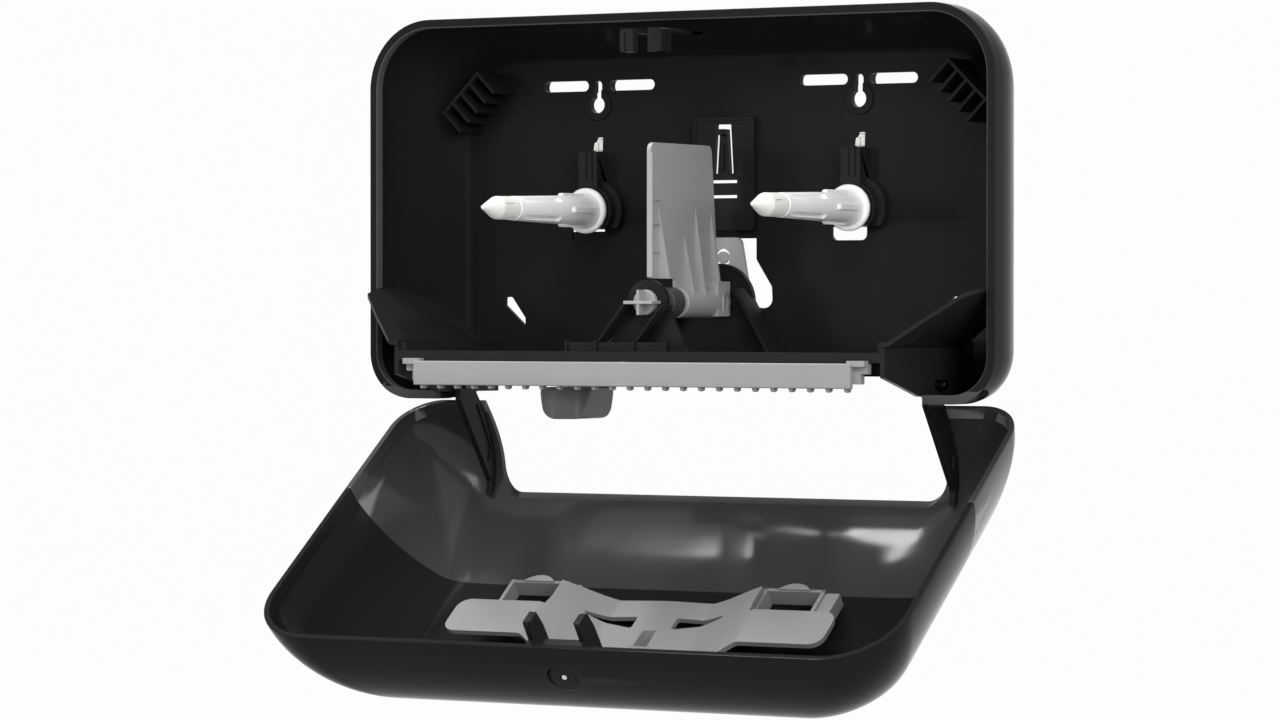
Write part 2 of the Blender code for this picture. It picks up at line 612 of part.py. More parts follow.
OPENING_FRONT_OFFSET = 4.0 * MM
OPENING_FRONT = FENCE_BACK + OPENING_FRONT_OFFSET
OPENING_BACK = -36.0 * MM
LEVER_GAP_FRONT = -77.0 * MM
LEVER_GAP_BACK = -62.5 * MM
WING_THICKNESS = 2.2 * MM
WING_LOW_X_OFFSET = 2.0 * MM
WING_LOW_X = CHEEK_OUTER + WING_LOW_X_OFFSET
WING_LOW_Z_OFFSET = 7.7 * MM
WING_LOW_Z = FLOOR_TOP + WING_LOW_Z_OFFSET
WING_FRONT_OFFSET = 1.0 * MM
WING_FRONT = FENCE_FRONT - WING_FRONT_OFFSET
WING_TIP_X_OFFSET = 8.6 * MM
WING_TIP_X = HALF_WIDTH - WING_TIP_X_OFFSET
WING_TIP_Y_OFFSET = 15.5 * MM
WING_TIP_Y = -BASE_DEPTH - WING_TIP_Y_OFFSET
WING_TIP_Z_OFFSET = 23.4 * MM
WING_TIP_Z = WING_LOW_Z + WING_TIP_Z_OFFSET
WING_BACK = -20.0 * MM
WING_SIDE_GAP = 0.6 * MM
WING_STATION_SHARES = (0.0, 0.12, 0.35, 0.6, 0.8, 1.0)


def wing(side):
    """A slanted plate from the end of the fence up to the side wall of the base."""
    slope = (WING_TIP_Z - WING_LOW_Z) / (WING_TIP_X - WING_LOW_X)

    def ring(y, outer):
        z = WING_LOW_Z + (outer - WING_LOW_X) * slope
        top = [(CHEEK_INNER, WING_LOW_Z), (WING_LOW_X, WING_LOW_Z), (outer, z)]
        under = [(x, height - WING_THICKNESS) for x, height in reversed(top)]
        return [Vector((side * x, y, height)) for x, height in top + under]

    rings = [ring(WING_FRONT, WING_LOW_X + OVERRUN), ring(WING_TIP_Y, WING_TIP_X)]
    rim_y = OVERRUN - BASE_DEPTH
    for share in WING_STATION_SHARES:
        y = rim_y + (WING_BACK - rim_y) * share
        wall = max(point.x for point in base_ring(y, RIM_WIDTH))
        rings.append(ring(y, wall - WING_SIDE_GAP))
    return loft(rings)


def cheek(side):
    outline = [(FENCE_FRONT, CHEEK_TOP), (FENCE_FRONT, CHEEK_FRONT_BOTTOM),
               (-BASE_DEPTH, CHEEK_RIM_BOTTOM), (CHEEK_BACK, CHEEK_BACK_BOTTOM), (CHEEK_BACK, WING_LOW_Z)]
    near, far = sorted((side * CHEEK_INNER, side * CHEEK_OUTER))
    return prism("X", outline, near, far)


def chute_frame():
    floor = box(-FLOOR_HALF_WIDTH, FLOOR_HALF_WIDTH, FENCE_FRONT + OVERRUN, PLATE_FACE - GAP,
                FLOOR_BOTTOM, FLOOR_TOP)
    fence = box(-FENCE_HALF_WIDTH, FENCE_HALF_WIDTH, FENCE_FRONT, FENCE_BACK, FLOOR_BOTTOM, FENCE_TOP)
    mesh = join(floor, fence, cheek(-1), cheek(1), wing(-1), wing(1))
    cuts = []
    for side in (-1, 1):
        near, far = sorted((side * OPENING_INNER, side * OPENING_OUTER))
        cuts.append(box(near, far, OPENING_FRONT, OPENING_BACK, FLOOR_BOTTOM - OVERRUN, FLOOR_TOP + OVERRUN))
        near, far = sorted((side * (CHEEK_INNER - OVERRUN), side * (CHEEK_OUTER + OVERRUN)))
        cuts.append(rod("X", HINGE_Y, HINGE_Z, HINGE_PIN_RADIUS + GAP, near, far, 16))
    cuts.append(box(-OPENING_INNER - OVERRUN, OPENING_INNER + OVERRUN, LEVER_GAP_FRONT, LEVER_GAP_BACK,
                    FLOOR_BOTTOM - OVERRUN, FLOOR_TOP + OVERRUN))
    return node("chute_frame", cut(mesh, *cuts), BLACK, 0.35)


# Tear bar under the fence, with rounded nubs along its edge
BAR_HALF_WIDTH_OFFSET = 13.0 * MM
BAR_HALF_WIDTH = FENCE_HALF_WIDTH - BAR_HALF_WIDTH_OFFSET
BAR_BACK_OFFSET = 3.4 * MM
BAR_BACK = FENCE_FRONT - BAR_BACK_OFFSET
BAR_FRONT_OFFSET = 2.6 * MM
BAR_FRONT = BAR_BACK - BAR_FRONT_OFFSET
BAR_TOP = FLOOR_BOTTOM - GAP
BAR_BOTTOM_OFFSET = 7.8 * MM
BAR_BOTTOM = BASE_BOTTOM + BAR_BOTTOM_OFFSET
BAR_FLANGE_TOP = FLOOR_BOTTOM - GAP
BAR_FLANGE_THICKNESS = 2.4 * MM
BAR_END_HALF_WIDTH_OFFSET = 6.9 * MM
BAR_END_HALF_WIDTH = BAR_HALF_WIDTH + BAR_END_HALF_WIDTH_OFFSET
BAR_END_INNER_OFFSET = 2.5 * MM
BAR_END_INNER = BAR_HALF_WIDTH - BAR_END_INNER_OFFSET
BAR_END_BOTTOM_OFFSET = 5.0 * MM
BAR_END_BOTTOM = BAR_TOP - BAR_END_BOTTOM_OFFSET
BAR_END_FRONT_OFFSET = 1.6 * MM
BAR_END_FRONT = BAR_BACK + BAR_END_FRONT_OFFSET
BAR_FOOT_HALF_WIDTH_OFFSET = 3.4 * MM
BAR_FOOT_HALF_WIDTH = BAR_HALF_WIDTH + BAR_FOOT_HALF_WIDTH_OFFSET
BAR_FOOT_BOTTOM_OFFSET = 9.8 * MM
BAR_FOOT_BOTTOM = BAR_TOP - BAR_FOOT_BOTTOM_OFFSET
BAR_TAB_TOP_OFFSET = 1.3 * MM
BAR_TAB_TOP = BAR_TOP + BAR_TAB_TOP_OFFSET
BAR_TAB_BOTTOM_OFFSET = 1.6 * MM
BAR_TAB_BOTTOM = BAR_TOP - BAR_TAB_BOTTOM_OFFSET
BAR_TAB_BACK = FENCE_FRONT - GAP
NUB_PITCH = 9.8 * MM
NUB_RADIUS = 1.3 * MM
NUB_COUNT = 1 + 2 * int((BAR_HALF_WIDTH - NUB_RADIUS) / NUB_PITCH)
NUB_DROP = 0.6 * MM
NUB_BACK_OFFSET = 3.6 * MM
NUB_BACK = BAR_BACK + NUB_BACK_OFFSET


def tear_bar():
    blade = box(-BAR_HALF_WIDTH, BAR_HALF_WIDTH, BAR_FRONT, BAR_BACK, BAR_BOTTOM, BAR_TOP)
    flange = box(-BAR_HALF_WIDTH, BAR_HALF_WIDTH, BAR_BACK - OVERRUN, FENCE_BACK,
                 BAR_FLANGE_TOP - BAR_FLANGE_THICKNESS, BAR_FLANGE_TOP)
    ends = []
    for side in (-1, 1):
        near, far = sorted((side * BAR_END_INNER, side * BAR_END_HALF_WIDTH))
        ends.append(box(near, far, BAR_FRONT + OVERRUN / 2, BAR_TAB_BACK, BAR_TAB_BOTTOM, BAR_TAB_TOP))
        ends.append(box(near, far, BAR_END_FRONT, FENCE_BACK, BAR_END_BOTTOM, BAR_TOP))
        near, far = sorted((side * BAR_END_INNER, side * BAR_FOOT_HALF_WIDTH))
        ends.append(box(near, far, BAR_END_FRONT, FENCE_BACK, BAR_FOOT_BOTTOM, BAR_TOP))
        near, far = sorted((side * BAR_END_INNER, side * BAR_HALF_WIDTH))
        ends.append(box(near, far, BAR_BACK - OVERRUN, FENCE_BACK, BAR_FOOT_BOTTOM, BAR_TOP))
    nubs = []
    for i in range(NUB_COUNT):
        x = (i - (NUB_COUNT - 1) / 2) * NUB_PITCH
        nubs.append(rod("Y", x, BAR_BOTTOM - NUB_DROP, NUB_RADIUS, BAR_BACK - OVERRUN, NUB_BACK, 10))
    return node("tear_bar", join(blade, flange, *ends, *nubs), GREY, 0.45)


# Flap between the rolls, its hub and the fan-shaped cheek at its back
FLAP_AXIS_Z = -46.5 * MM
FLAP_HALF_THICKNESS = 1.1 * MM
FLAP_FRONT = -87.5 * MM
FLAP_TOP = 31.4 * MM
FLAP_BACK_TOP = -26.0 * MM
FLAP_BACK_LOW = -18.0 * MM
FLAP_CORNER = 4.0 * MM
FLAP_FRONT_LOW = -34.8 * MM
FLAP_NOTCH_Y = -62.0 * MM
FLAP_HUB_RADIUS = 7.5 * MM
FLAP_HUB_FRONT = -61.0 * MM
FLAP_HUB_BACK = -17.0 * MM
FLAP_BOX_FRONT = -30.0 * MM
FLAP_BOX_HALF_WIDTH = 7.0 * MM
FLAP_BOX_TOP = -36.0 * MM
FLAP_BOX_BOTTOM = -53.5 * MM
FLAP_WINDOW_FRONT = -27.0 * MM
FLAP_WINDOW_BACK = -20.0 * MM
FLAP_WINDOW_TOP = -42.5 * MM
FLAP_WINDOW_BOTTOM = -50.5 * MM
FLAP_WINDOW_DEPTH = 2.2 * MM
FLAP_FIN_THICKNESS = 1.3 * MM
FLAP_FIN_FOOT = 7.2 * MM
FLAP_FIN_BOTTOM = -45.0 * MM
FLAP_FINS = ((-79.0 * MM, 6.0 * MM), (-53.0 * MM, -8.0 * MM), (-42.0 * MM, 9.0 * MM), (-26.0 * MM, 6.0 * MM))
FLAP_RIB_LEVELS = (4.0 * MM, -8.0 * MM, -21.5 * MM)
FLAP_RIB_LENGTH = 9.0 * MM
FLAP_RIB_HEIGHT = 1.4 * MM
FLAP_AXLE_RADIUS = 4.5 * MM
PIVOT_PIN_RADIUS = 3.2 * MM
PIVOT_BORE = 3.5 * MM
PIVOT_BORE_BACK = -44.0 * MM
REAR_CHEEK_FRONT = -12.6 * MM
REAR_CHEEK_BACK = -10.4 * MM
REAR_CHEEK_TOP = -14.0 * MM
REAR_CHEEK_TOP_HALF_WIDTH = 10.3 * MM
REAR_CHEEK_LOW_HALF_WIDTH = 15.0 * MM
REAR_CHEEK_LOW_Z = -40.0 * MM
REAR_CHEEK_BOTTOM = -54.0 * MM
REAR_CHEEK_BOTTOM_HALF_WIDTH = 8.0 * MM
REAR_CHEEK_CORNER = 3.5 * MM
CRESCENT_Z = -24.0 * MM
CRESCENT_OUTER = 4.5 * MM
CRESCENT_INNER = 3.0 * MM
CRESCENT_BRIDGE = 1.6 * MM


def crescent(sign, start, end):
    """Half of the round hole in the rear cheek, above or below its boss."""
    steps = 8
    outer = []
    inner = []
    for radius, points in ((CRESCENT_OUTER, outer), (CRESCENT_INNER, inner)):
        first = math.asin(CRESCENT_BRIDGE / radius)
        for step in range(steps + 1):
            turn = first + (math.pi - 2 * first) * step / steps
            points.append((radius * math.cos(turn), CRESCENT_Z + sign * radius * math.sin(turn)))
    return prism("Y", outer + inner[::-1], start, end)


def flap():
    t = FLAP_HALF_THICKNESS
    outline = rounded([(FLAP_FRONT, FLAP_TOP, FLAP_CORNER), (FLAP_FRONT, FLAP_FRONT_LOW, 0),
                       (FLAP_NOTCH_Y, FLAP_FRONT_LOW, 0), (FLAP_NOTCH_Y + OVERRUN, FLAP_AXIS_Z, 0),
                       (FLAP_BACK_LOW, FLAP_AXIS_Z, 0), (FLAP_BACK_TOP, FLAP_TOP, FLAP_CORNER)])
    sheet = prism("X", outline, -t, t)
    parts = [rod("Y", 0.0, FLAP_AXIS_Z, FLAP_HUB_RADIUS, FLAP_HUB_FRONT, FLAP_HUB_BACK),
             box(-FLAP_BOX_HALF_WIDTH, FLAP_BOX_HALF_WIDTH, FLAP_BOX_FRONT, FLAP_HUB_BACK,
                 FLAP_BOX_BOTTOM, FLAP_BOX_TOP),
             rod("Y", 0.0, FLAP_AXIS_Z, FLAP_AXLE_RADIUS, FLAP_HUB_BACK - OVERRUN, REAR_CHEEK_BACK)]
    for y, top in FLAP_FINS:
        low = FLAP_FRONT_LOW if y < FLAP_NOTCH_Y else FLAP_FIN_BOTTOM
        fin = [(0.0, top), (0.0, low), (FLAP_FIN_FOOT, low)]
        parts.append(prism("Y", fin, y - FLAP_FIN_THICKNESS / 2, y + FLAP_FIN_THICKNESS / 2))
    for level in FLAP_RIB_LEVELS:
        parts.append(box(0.0, t + OVERRUN, FLAP_FRONT + OVERRUN, FLAP_FRONT + FLAP_RIB_LENGTH,
                         level, level + FLAP_RIB_HEIGHT))
    fan = rounded([(-REAR_CHEEK_TOP_HALF_WIDTH, REAR_CHEEK_TOP, REAR_CHEEK_CORNER),
                   (-REAR_CHEEK_LOW_HALF_WIDTH, REAR_CHEEK_LOW_Z, 0),
                   (-REAR_CHEEK_BOTTOM_HALF_WIDTH, REAR_CHEEK_BOTTOM, REAR_CHEEK_CORNER),
                   (REAR_CHEEK_BOTTOM_HALF_WIDTH, REAR_CHEEK_BOTTOM, REAR_CHEEK_CORNER),
                   (REAR_CHEEK_LOW_HALF_WIDTH, REAR_CHEEK_LOW_Z, 0),
                   (REAR_CHEEK_TOP_HALF_WIDTH, REAR_CHEEK_TOP, REAR_CHEEK_CORNER)])
    parts.append(prism("Y", fan, REAR_CHEEK_FRONT, REAR_CHEEK_BACK))
    mesh = join(sheet, *parts)
    front = REAR_CHEEK_FRONT - OVERRUN
    back = REAR_CHEEK_BACK + OVERRUN
    near = FLAP_BOX_HALF_WIDTH - FLAP_WINDOW_DEPTH
    mesh = cut(mesh, crescent(1, front, back), crescent(-1, front, back),
               rod("Y", 0.0, FLAP_AXIS_Z, PIVOT_BORE, FLAP_HUB_FRONT - 2 * OVERRUN, PIVOT_BORE_BACK, 16),
               box(near, FLAP_BOX_HALF_WIDTH + OVERRUN, FLAP_WINDOW_FRONT, FLAP_WINDOW_BACK,
                   FLAP_WINDOW_BOTTOM, FLAP_WINDOW_TOP))
    return node("flap", mesh, GREY, 0.42, origin=(0.0, FLAP_HUB_BACK, FLAP_AXIS_Z))


# Front bracket: an arch plate with two slanted legs, and the fixed pin that it holds
BRACKET_FRONT = -89.0 * MM
BRACKET_BACK = -86.8 * MM
BRACKET_ARCH = 11.2 * MM
BRACKET_FOOT = 23.6 * MM
BRACKET_WAIST_Z = -48.0 * MM
BRACKET_SOLE = 2.0 * MM
STRUT_FRONT_OFFSET = 2.0 * MM
STRUT_FRONT = FENCE_BACK + STRUT_FRONT_OFFSET
STRUT_HALF_WIDTH = 0.7 * MM
STRUT_TOP_Z_OFFSET = 1.2 * MM
STRUT_TOP_Z = FLAP_AXIS_Z - STRUT_TOP_Z_OFFSET
STRUT_LEAN = 15.0 * MM
STRUT_FEET = (-22.6 * MM, -1.5 * MM)
WALL_TOP_OFFSET = 7.2 * MM
WALL_TOP = FLOOR_TOP + WALL_TOP_OFFSET
WALL_BACK_OFFSET = 1.8 * MM
WALL_BACK = STRUT_FRONT + WALL_BACK_OFFSET
WALL_LEFT = -39.9 * MM
WALL_RIGHT = 17.2 * MM
POST_TOP_OFFSET = 0.8 * MM
POST_TOP = WALL_TOP + POST_TOP_OFFSET
POST_WIDTH = 1.6 * MM
POST_FRONT_OFFSET = 1.4 * MM
POST_FRONT = STRUT_FRONT - POST_FRONT_OFFSET
PEG_RADIUS = 6.2 * MM
PEG_FRONT_OFFSET = 3.5 * MM
PEG_FRONT = BRACKET_FRONT - PEG_FRONT_OFFSET
PEG_BACK = BRACKET_FRONT - GAP
PEG_FIN_HALF_WIDTH = 8.0 * MM
PEG_FIN_HALF_HEIGHT = 0.8 * MM
PEG_FIN_FRONT_OFFSET = 6.4 * MM
PEG_FIN_FRONT = PEG_FRONT - PEG_FIN_FRONT_OFFSET
PIVOT_PIN_BACK = -45.0 * MM


def arch_outline(radius, waist_z, foot_x, foot_z):
    """A round-topped plate round the flap's axis that widens to its foot."""
    steps = 10
    points = []
    for step in range(steps + 1):
        turn = math.pi * step / steps
        points.append((radius * math.cos(turn), FLAP_AXIS_Z + radius * math.sin(turn)))
    return points + [(-radius, waist_z), (-foot_x, foot_z), (foot_x, foot_z), (radius, waist_z)]


def slanted_rib(side, top_x, top_z, foot_x, half_width, front, back):
    """A thin upright rib along a slanted line, down to the floor."""
    foot_z = FLOOR_TOP + GAP
    run = Vector((foot_x - top_x, foot_z - top_z)).normalized()
    across = Vector((-run.y, run.x)) * half_width
    ends = [Vector((top_x, top_z)) + across, Vector((top_x, top_z)) - across,
            Vector((foot_x, foot_z)) - across, Vector((foot_x, foot_z)) + across]
    ends = [(side * point.x, max(point.y, foot_z)) for point in ends]
    return prism("Y", ends, front, back)


def front_bracket():
    foot_z = FLOOR_TOP + GAP
    mesh = prism("Y", arch_outline(BRACKET_ARCH, BRACKET_WAIST_Z, BRACKET_FOOT, foot_z),
                 BRACKET_FRONT, BRACKET_BACK)
    parts = [box(WALL_LEFT, WALL_RIGHT, STRUT_FRONT, WALL_BACK, foot_z, WALL_TOP),
             box(-BRACKET_FOOT, WALL_RIGHT, STRUT_FRONT, BRACKET_BACK, foot_z, foot_z + BRACKET_SOLE)]
    for foot_x in STRUT_FEET:
        strut = [(foot_x - STRUT_HALF_WIDTH, WALL_TOP - OVERRUN),
                 (foot_x + STRUT_HALF_WIDTH, WALL_TOP - OVERRUN),
                 (foot_x + STRUT_LEAN + STRUT_HALF_WIDTH, STRUT_TOP_Z),
                 (foot_x + STRUT_LEAN - STRUT_HALF_WIDTH, STRUT_TOP_Z)]
        parts.append(prism("Y", strut, STRUT_FRONT, BRACKET_FRONT + OVERRUN))
    posts = [foot_x - POST_WIDTH / 2 for foot_x in STRUT_FEET]
    for x in (WALL_LEFT, *posts, WALL_RIGHT - POST_WIDTH):
        parts.append(box(x, x + POST_WIDTH, POST_FRONT, WALL_BACK, foot_z, POST_TOP))
    bore = rod("Y", 0.0, FLAP_AXIS_Z, PIVOT_BORE, BRACKET_FRONT - OVERRUN, BRACKET_BACK + OVERRUN, 16)
    return node("front_bracket", cut(join(mesh, *parts), bore), BLACK, 0.4)


def flap_pivot_pin():
    profile = [(PEG_FRONT, PEG_RADIUS), (PEG_BACK, PEG_RADIUS), (PEG_BACK, PIVOT_PIN_RADIUS),
               (PIVOT_PIN_BACK, PIVOT_PIN_RADIUS)]
    mesh = turned("Y", 0.0, FLAP_AXIS_Z, profile)
    low = FLAP_AXIS_Z - PEG_FIN_HALF_HEIGHT
    high = FLAP_AXIS_Z + PEG_FIN_HALF_HEIGHT
    fin = box(-PEG_FIN_HALF_WIDTH, PEG_FIN_HALF_WIDTH, PEG_FIN_FRONT, PEG_BACK - OVERRUN, low, high)
    upright = box(-PEG_FIN_HALF_HEIGHT, PEG_FIN_HALF_HEIGHT, PEG_FIN_FRONT + OVERRUN, PEG_BACK - OVERRUN,
                  FLAP_AXIS_Z - PEG_RADIUS, FLAP_AXIS_Z + PEG_RADIUS)
    return node("flap_pivot_pin", join(mesh, fin, upright), GREY, 0.42)


# Rear bracket: the arch that carries the back of the flap's hub
REAR_FRONT = -16.4 * MM
REAR_BACK = -13.4 * MM
REAR_ARCH = 19.5 * MM
REAR_WAIST_Z = -48.0 * MM
REAR_FOOT = 36.0 * MM
REAR_RIB_FRONT = -28.0 * MM
REAR_RIB_HALF_WIDTH = 1.1 * MM
REAR_RIB_TOP_X = 15.5 * MM
REAR_RIB_TOP_Z = -40.0 * MM
REAR_RIB_INSET = 1.5 * MM


def rear_bracket():
    foot_z = FLOOR_TOP + GAP
    mesh = prism("Y", arch_outline(REAR_ARCH, REAR_WAIST_Z, REAR_FOOT, foot_z), REAR_FRONT, REAR_BACK)
    ribs = [slanted_rib(side, REAR_RIB_TOP_X, REAR_RIB_TOP_Z, REAR_FOOT - REAR_RIB_INSET,
                        REAR_RIB_HALF_WIDTH, REAR_RIB_FRONT, REAR_BACK - OVERRUN) for side in (-1, 1)]
    bore = rod("Y", 0.0, FLAP_AXIS_Z, FLAP_AXLE_RADIUS + GAP, REAR_FRONT - OVERRUN, REAR_BACK + OVERRUN)
    return node("rear_bracket", cut(join(mesh, *ribs), bore), BLACK, 0.4)


# Selector lever: a hub on the fixed pin, an arm and a paddle that hangs below the throat
LEVER_HUB_RADIUS = 7.6 * MM
LEVER_FRONT = -75.6 * MM
LEVER_BACK = -64.0 * MM
LEVER_ARM_FRONT = -74.6 * MM
LEVER_ARM_BACK = -68.0 * MM
LEVER_ARM_HALF_WIDTH = 3.6 * MM
PADDLE_LEFT = -56.0 * MM
PADDLE_RIGHT = -30.6 * MM
PADDLE_TOP = -88.0 * MM
PADDLE_BOTTOM = -103.5 * MM
PADDLE_FRONT = -100.0 * MM
PADDLE_BACK = -66.0 * MM
PADDLE_CORNER = 10.0 * MM
PADDLE_REAR_CORNER = 6.0 * MM


def selector_lever():
    hub = rod("Y", 0.0, FLAP_AXIS_Z, LEVER_HUB_RADIUS, LEVER_FRONT, LEVER_BACK)
    foot = Vector(((PADDLE_LEFT + PADDLE_RIGHT) / 2, PADDLE_TOP - 2 * OVERRUN))
    top = Vector((0.0, FLAP_AXIS_Z))
    across = Vector((-(foot - top).y, (foot - top).x)).normalized() * LEVER_ARM_HALF_WIDTH
    ends = [top + across, top - across, foot - across, foot + across]
    arm = prism("Y", [tuple(point) for point in ends], LEVER_ARM_FRONT, LEVER_ARM_BACK)
    face = rounded([(PADDLE_LEFT, PADDLE_TOP, 0), (PADDLE_LEFT, PADDLE_BOTTOM, PADDLE_CORNER),
                    (PADDLE_RIGHT, PADDLE_BOTTOM, 0), (PADDLE_RIGHT, PADDLE_TOP, 0)])
    block = prism("Y", face, PADDLE_FRONT, PADDLE_BACK)
    profile = rounded([(PADDLE_FRONT - OVERRUN, PADDLE_TOP + OVERRUN, 0),
                       (PADDLE_FRONT - OVERRUN, PADDLE_BOTTOM, 0),
                       (PADDLE_BACK, PADDLE_BOTTOM, PADDLE_REAR_CORNER),
                       (PADDLE_BACK, PADDLE_TOP + OVERRUN, 0)])
    block = common(block, prism("X", profile, PADDLE_LEFT - OVERRUN, PADDLE_RIGHT + OVERRUN))
    bore = rod("Y", 0.0, FLAP_AXIS_Z, PIVOT_BORE, LEVER_FRONT - OVERRUN, LEVER_BACK + OVERRUN, 16)
    return node("selector_lever", cut(join(block, arm, hub), bore), CHARCOAL, 0.4,
                origin=(0.0, LEVER_BACK, FLAP_AXIS_Z))


# Latch catch under the top wall: two L-shaped posts on a block
CATCH_HALF_WIDTH = 11.6 * MM
CATCH_SLOT = 4.0 * MM
CATCH_TOP_OFFSET = 9.9 * MM
CATCH_TOP = BASE_TOP - CATCH_TOP_OFFSET
CATCH_BOTTOM_OFFSET = 11.4 * MM
CATCH_BOTTOM = CATCH_TOP - CATCH_BOTTOM_OFFSET
CATCH_FRONT_OFFSET = 9.2 * MM
CATCH_FRONT = LOCK_Y - CATCH_FRONT_OFFSET
CATCH_FLANGE_BACK_OFFSET = 4.8 * MM
CATCH_FLANGE_BACK = CATCH_FRONT + CATCH_FLANGE_BACK_OFFSET
CATCH_POST_BACK_OFFSET = 10.0 * MM
CATCH_POST_BACK = CATCH_FRONT + CATCH_POST_BACK_OFFSET
CATCH_PLATE_THICKNESS = 2.0 * MM
CATCH_BLOCK_FRONT_OFFSET = 19.0 * MM
CATCH_BLOCK_FRONT = CATCH_FRONT + CATCH_BLOCK_FRONT_OFFSET
CATCH_BLOCK_BACK_OFFSET = 23.0 * MM
CATCH_BLOCK_BACK = CATCH_BLOCK_FRONT + CATCH_BLOCK_BACK_OFFSET
CATCH_SEAT_FRONT_OFFSET = 0.4 * MM
CATCH_SEAT_FRONT = CATCH_SEAT_FRONT_OFFSET - BASE_DEPTH


def latch_catch():
    seat_top = BASE_TOP - RIM_WIDTH - GAP
    plate_bottom = CATCH_TOP - CATCH_PLATE_THICKNESS
    front = box(-CATCH_HALF_WIDTH, CATCH_HALF_WIDTH, CATCH_FRONT, CATCH_POST_BACK, CATCH_BOTTOM, CATCH_TOP)
    plate = box(-CATCH_HALF_WIDTH, CATCH_HALF_WIDTH, CATCH_FRONT, CATCH_BLOCK_BACK, plate_bottom, CATCH_TOP)
    seat = box(-CATCH_HALF_WIDTH, CATCH_HALF_WIDTH, CATCH_SEAT_FRONT, CATCH_BLOCK_BACK,
               plate_bottom, seat_top)
    reach = CATCH_HALF_WIDTH - CATCH_PLATE_THICKNESS
    inside = box(-reach, reach, CATCH_FLANGE_BACK, CATCH_POST_BACK + OVERRUN, CATCH_BOTTOM - OVERRUN,
                 plate_bottom)
    slot = box(-CATCH_SLOT, CATCH_SLOT, CATCH_FRONT - OVERRUN, CATCH_BLOCK_FRONT, CATCH_BOTTOM - OVERRUN,
               CATCH_TOP + OVERRUN)
    return node("latch_catch", cut(join(front, plate, seat), inside, slot), BLACK, 0.35)


# Cover: a domed shell in two parts, joined along a level seam
COVER_RIM_Y = -BASE_DEPTH - GAP
COVER_FRONT = COVER_RIM_Y - COVER_DEPTH
COVER_WALL = 2.5 * MM
SIDE_DRAW = 44.3 * MM
TOP_DRAW = 46.0 * MM
BOTTOM_DRAW = 90.0 * MM
SIDE_POWER = 1.5
TOP_POWER = 2.15
BOTTOM_POWER = 2.84
LOWER_CORNER_GROWTH = 10.0 * MM
CROWN = 2.1 * MM
CROWN_SHARES = (0.72, 0.4)
DOME_TURNS = (0, 14, 27, 39, 49, 58, 66, 73, 79, 84, 88, 90)
SEAM_Z = -20.5 * MM
CUTOUT_RIM_HALF_WIDTH_OFFSET = 4.8 * MM
CUTOUT_RIM_HALF_WIDTH = CHEEK_INNER - CUTOUT_RIM_HALF_WIDTH_OFFSET
CUTOUT_FRONT_HALF_WIDTH_OFFSET = 3.3 * MM
CUTOUT_FRONT_HALF_WIDTH = CUTOUT_RIM_HALF_WIDTH - CUTOUT_FRONT_HALF_WIDTH_OFFSET
CUTOUT_FRONT_OFFSET = 3.0 * MM
CUTOUT_FRONT = BAR_FRONT - CUTOUT_FRONT_OFFSET
CUTOUT_CORNER = 11.0 * MM


def draw_in(reach, amount, power):
    return amount * (1 - (1 - min(reach, 1.0) ** power) ** (1 / power))


def cover_ring(reach, wall):
    """The outline of the cover at a share of its depth, drawn in by the wall."""
    side = wall + draw_in(reach, SIDE_DRAW, SIDE_POWER)
    return rounded_frame(HALF_WIDTH - side,
                         BASE_BOTTOM + wall + draw_in(reach, BOTTOM_DRAW, BOTTOM_POWER),
                         BASE_TOP - wall - draw_in(reach, TOP_DRAW, TOP_POWER),
                         LOWER_CORNER + LOWER_CORNER_GROWTH * reach - wall, UPPER_CORNER - wall,
                         COVER_RIM_Y - (COVER_DEPTH - wall) * reach)


def dome(wall):
    """The rings of the cover from its rim to its crowned front."""
    rings = [cover_ring(math.sin(math.radians(turn)), wall) for turn in DOME_TURNS]
    last = rings[-1]
    centre = sum(last, Vector()) / len(last)
    for share in CROWN_SHARES:
        rise = Vector((0.0, -CROWN * (1 - share * share), 0.0))
        rings.append([centre + (point - centre) * share + rise for point in last])
    return rings


def inner_top(y):
    """The height of the cover's inner face under its top, at a place y."""
    reach = (COVER_RIM_Y - y) / (COVER_DEPTH - COVER_WALL)
    return BASE_TOP - COVER_WALL - draw_in(max(reach, 0.0), TOP_DRAW, TOP_POWER)


def inner_floor(x, y):
    """The height of the cover's inner face at its bottom, at a place (x, y)."""
    reach = max((COVER_RIM_Y - y) / (COVER_DEPTH - COVER_WALL), 0.0)
    half_width = HALF_WIDTH - COVER_WALL - draw_in(reach, SIDE_DRAW, SIDE_POWER)
    bottom = BASE_BOTTOM + COVER_WALL + draw_in(reach, BOTTOM_DRAW, BOTTOM_POWER)
    radius = LOWER_CORNER + LOWER_CORNER_GROWTH * reach - COVER_WALL
    over = max(abs(x) - (half_width - radius), 0.0)
    return bottom + radius - math.sqrt(max(radius ** 2 - over ** 2, 0.0))


def cover_body():
    outer = dome(0.0)
    inner = dome(COVER_WALL)
    return loft(list(reversed(inner)) + outer)


def lock_hole():
    return rod("Z", 0.0, LOCK_Y, LOCK_RECESS + GAP, LOCK_HOLE_BOTTOM, BASE_TOP + OVERRUN, 32)


def cover_shell(hinge):
    reach = HALF_WIDTH + OVERRUN
    front = COVER_RIM_Y - COVER_DEPTH - CROWN - OVERRUN
    lower = box(-reach, reach, front, COVER_RIM_Y + OVERRUN, BASE_BOTTOM - OVERRUN, SEAM_Z + GAP / 2)
    return node("cover_shell", cut(cover_body(), lower, lock_hole()), BLACK, 0.22,
                origin=hinge.location, parent=hinge)


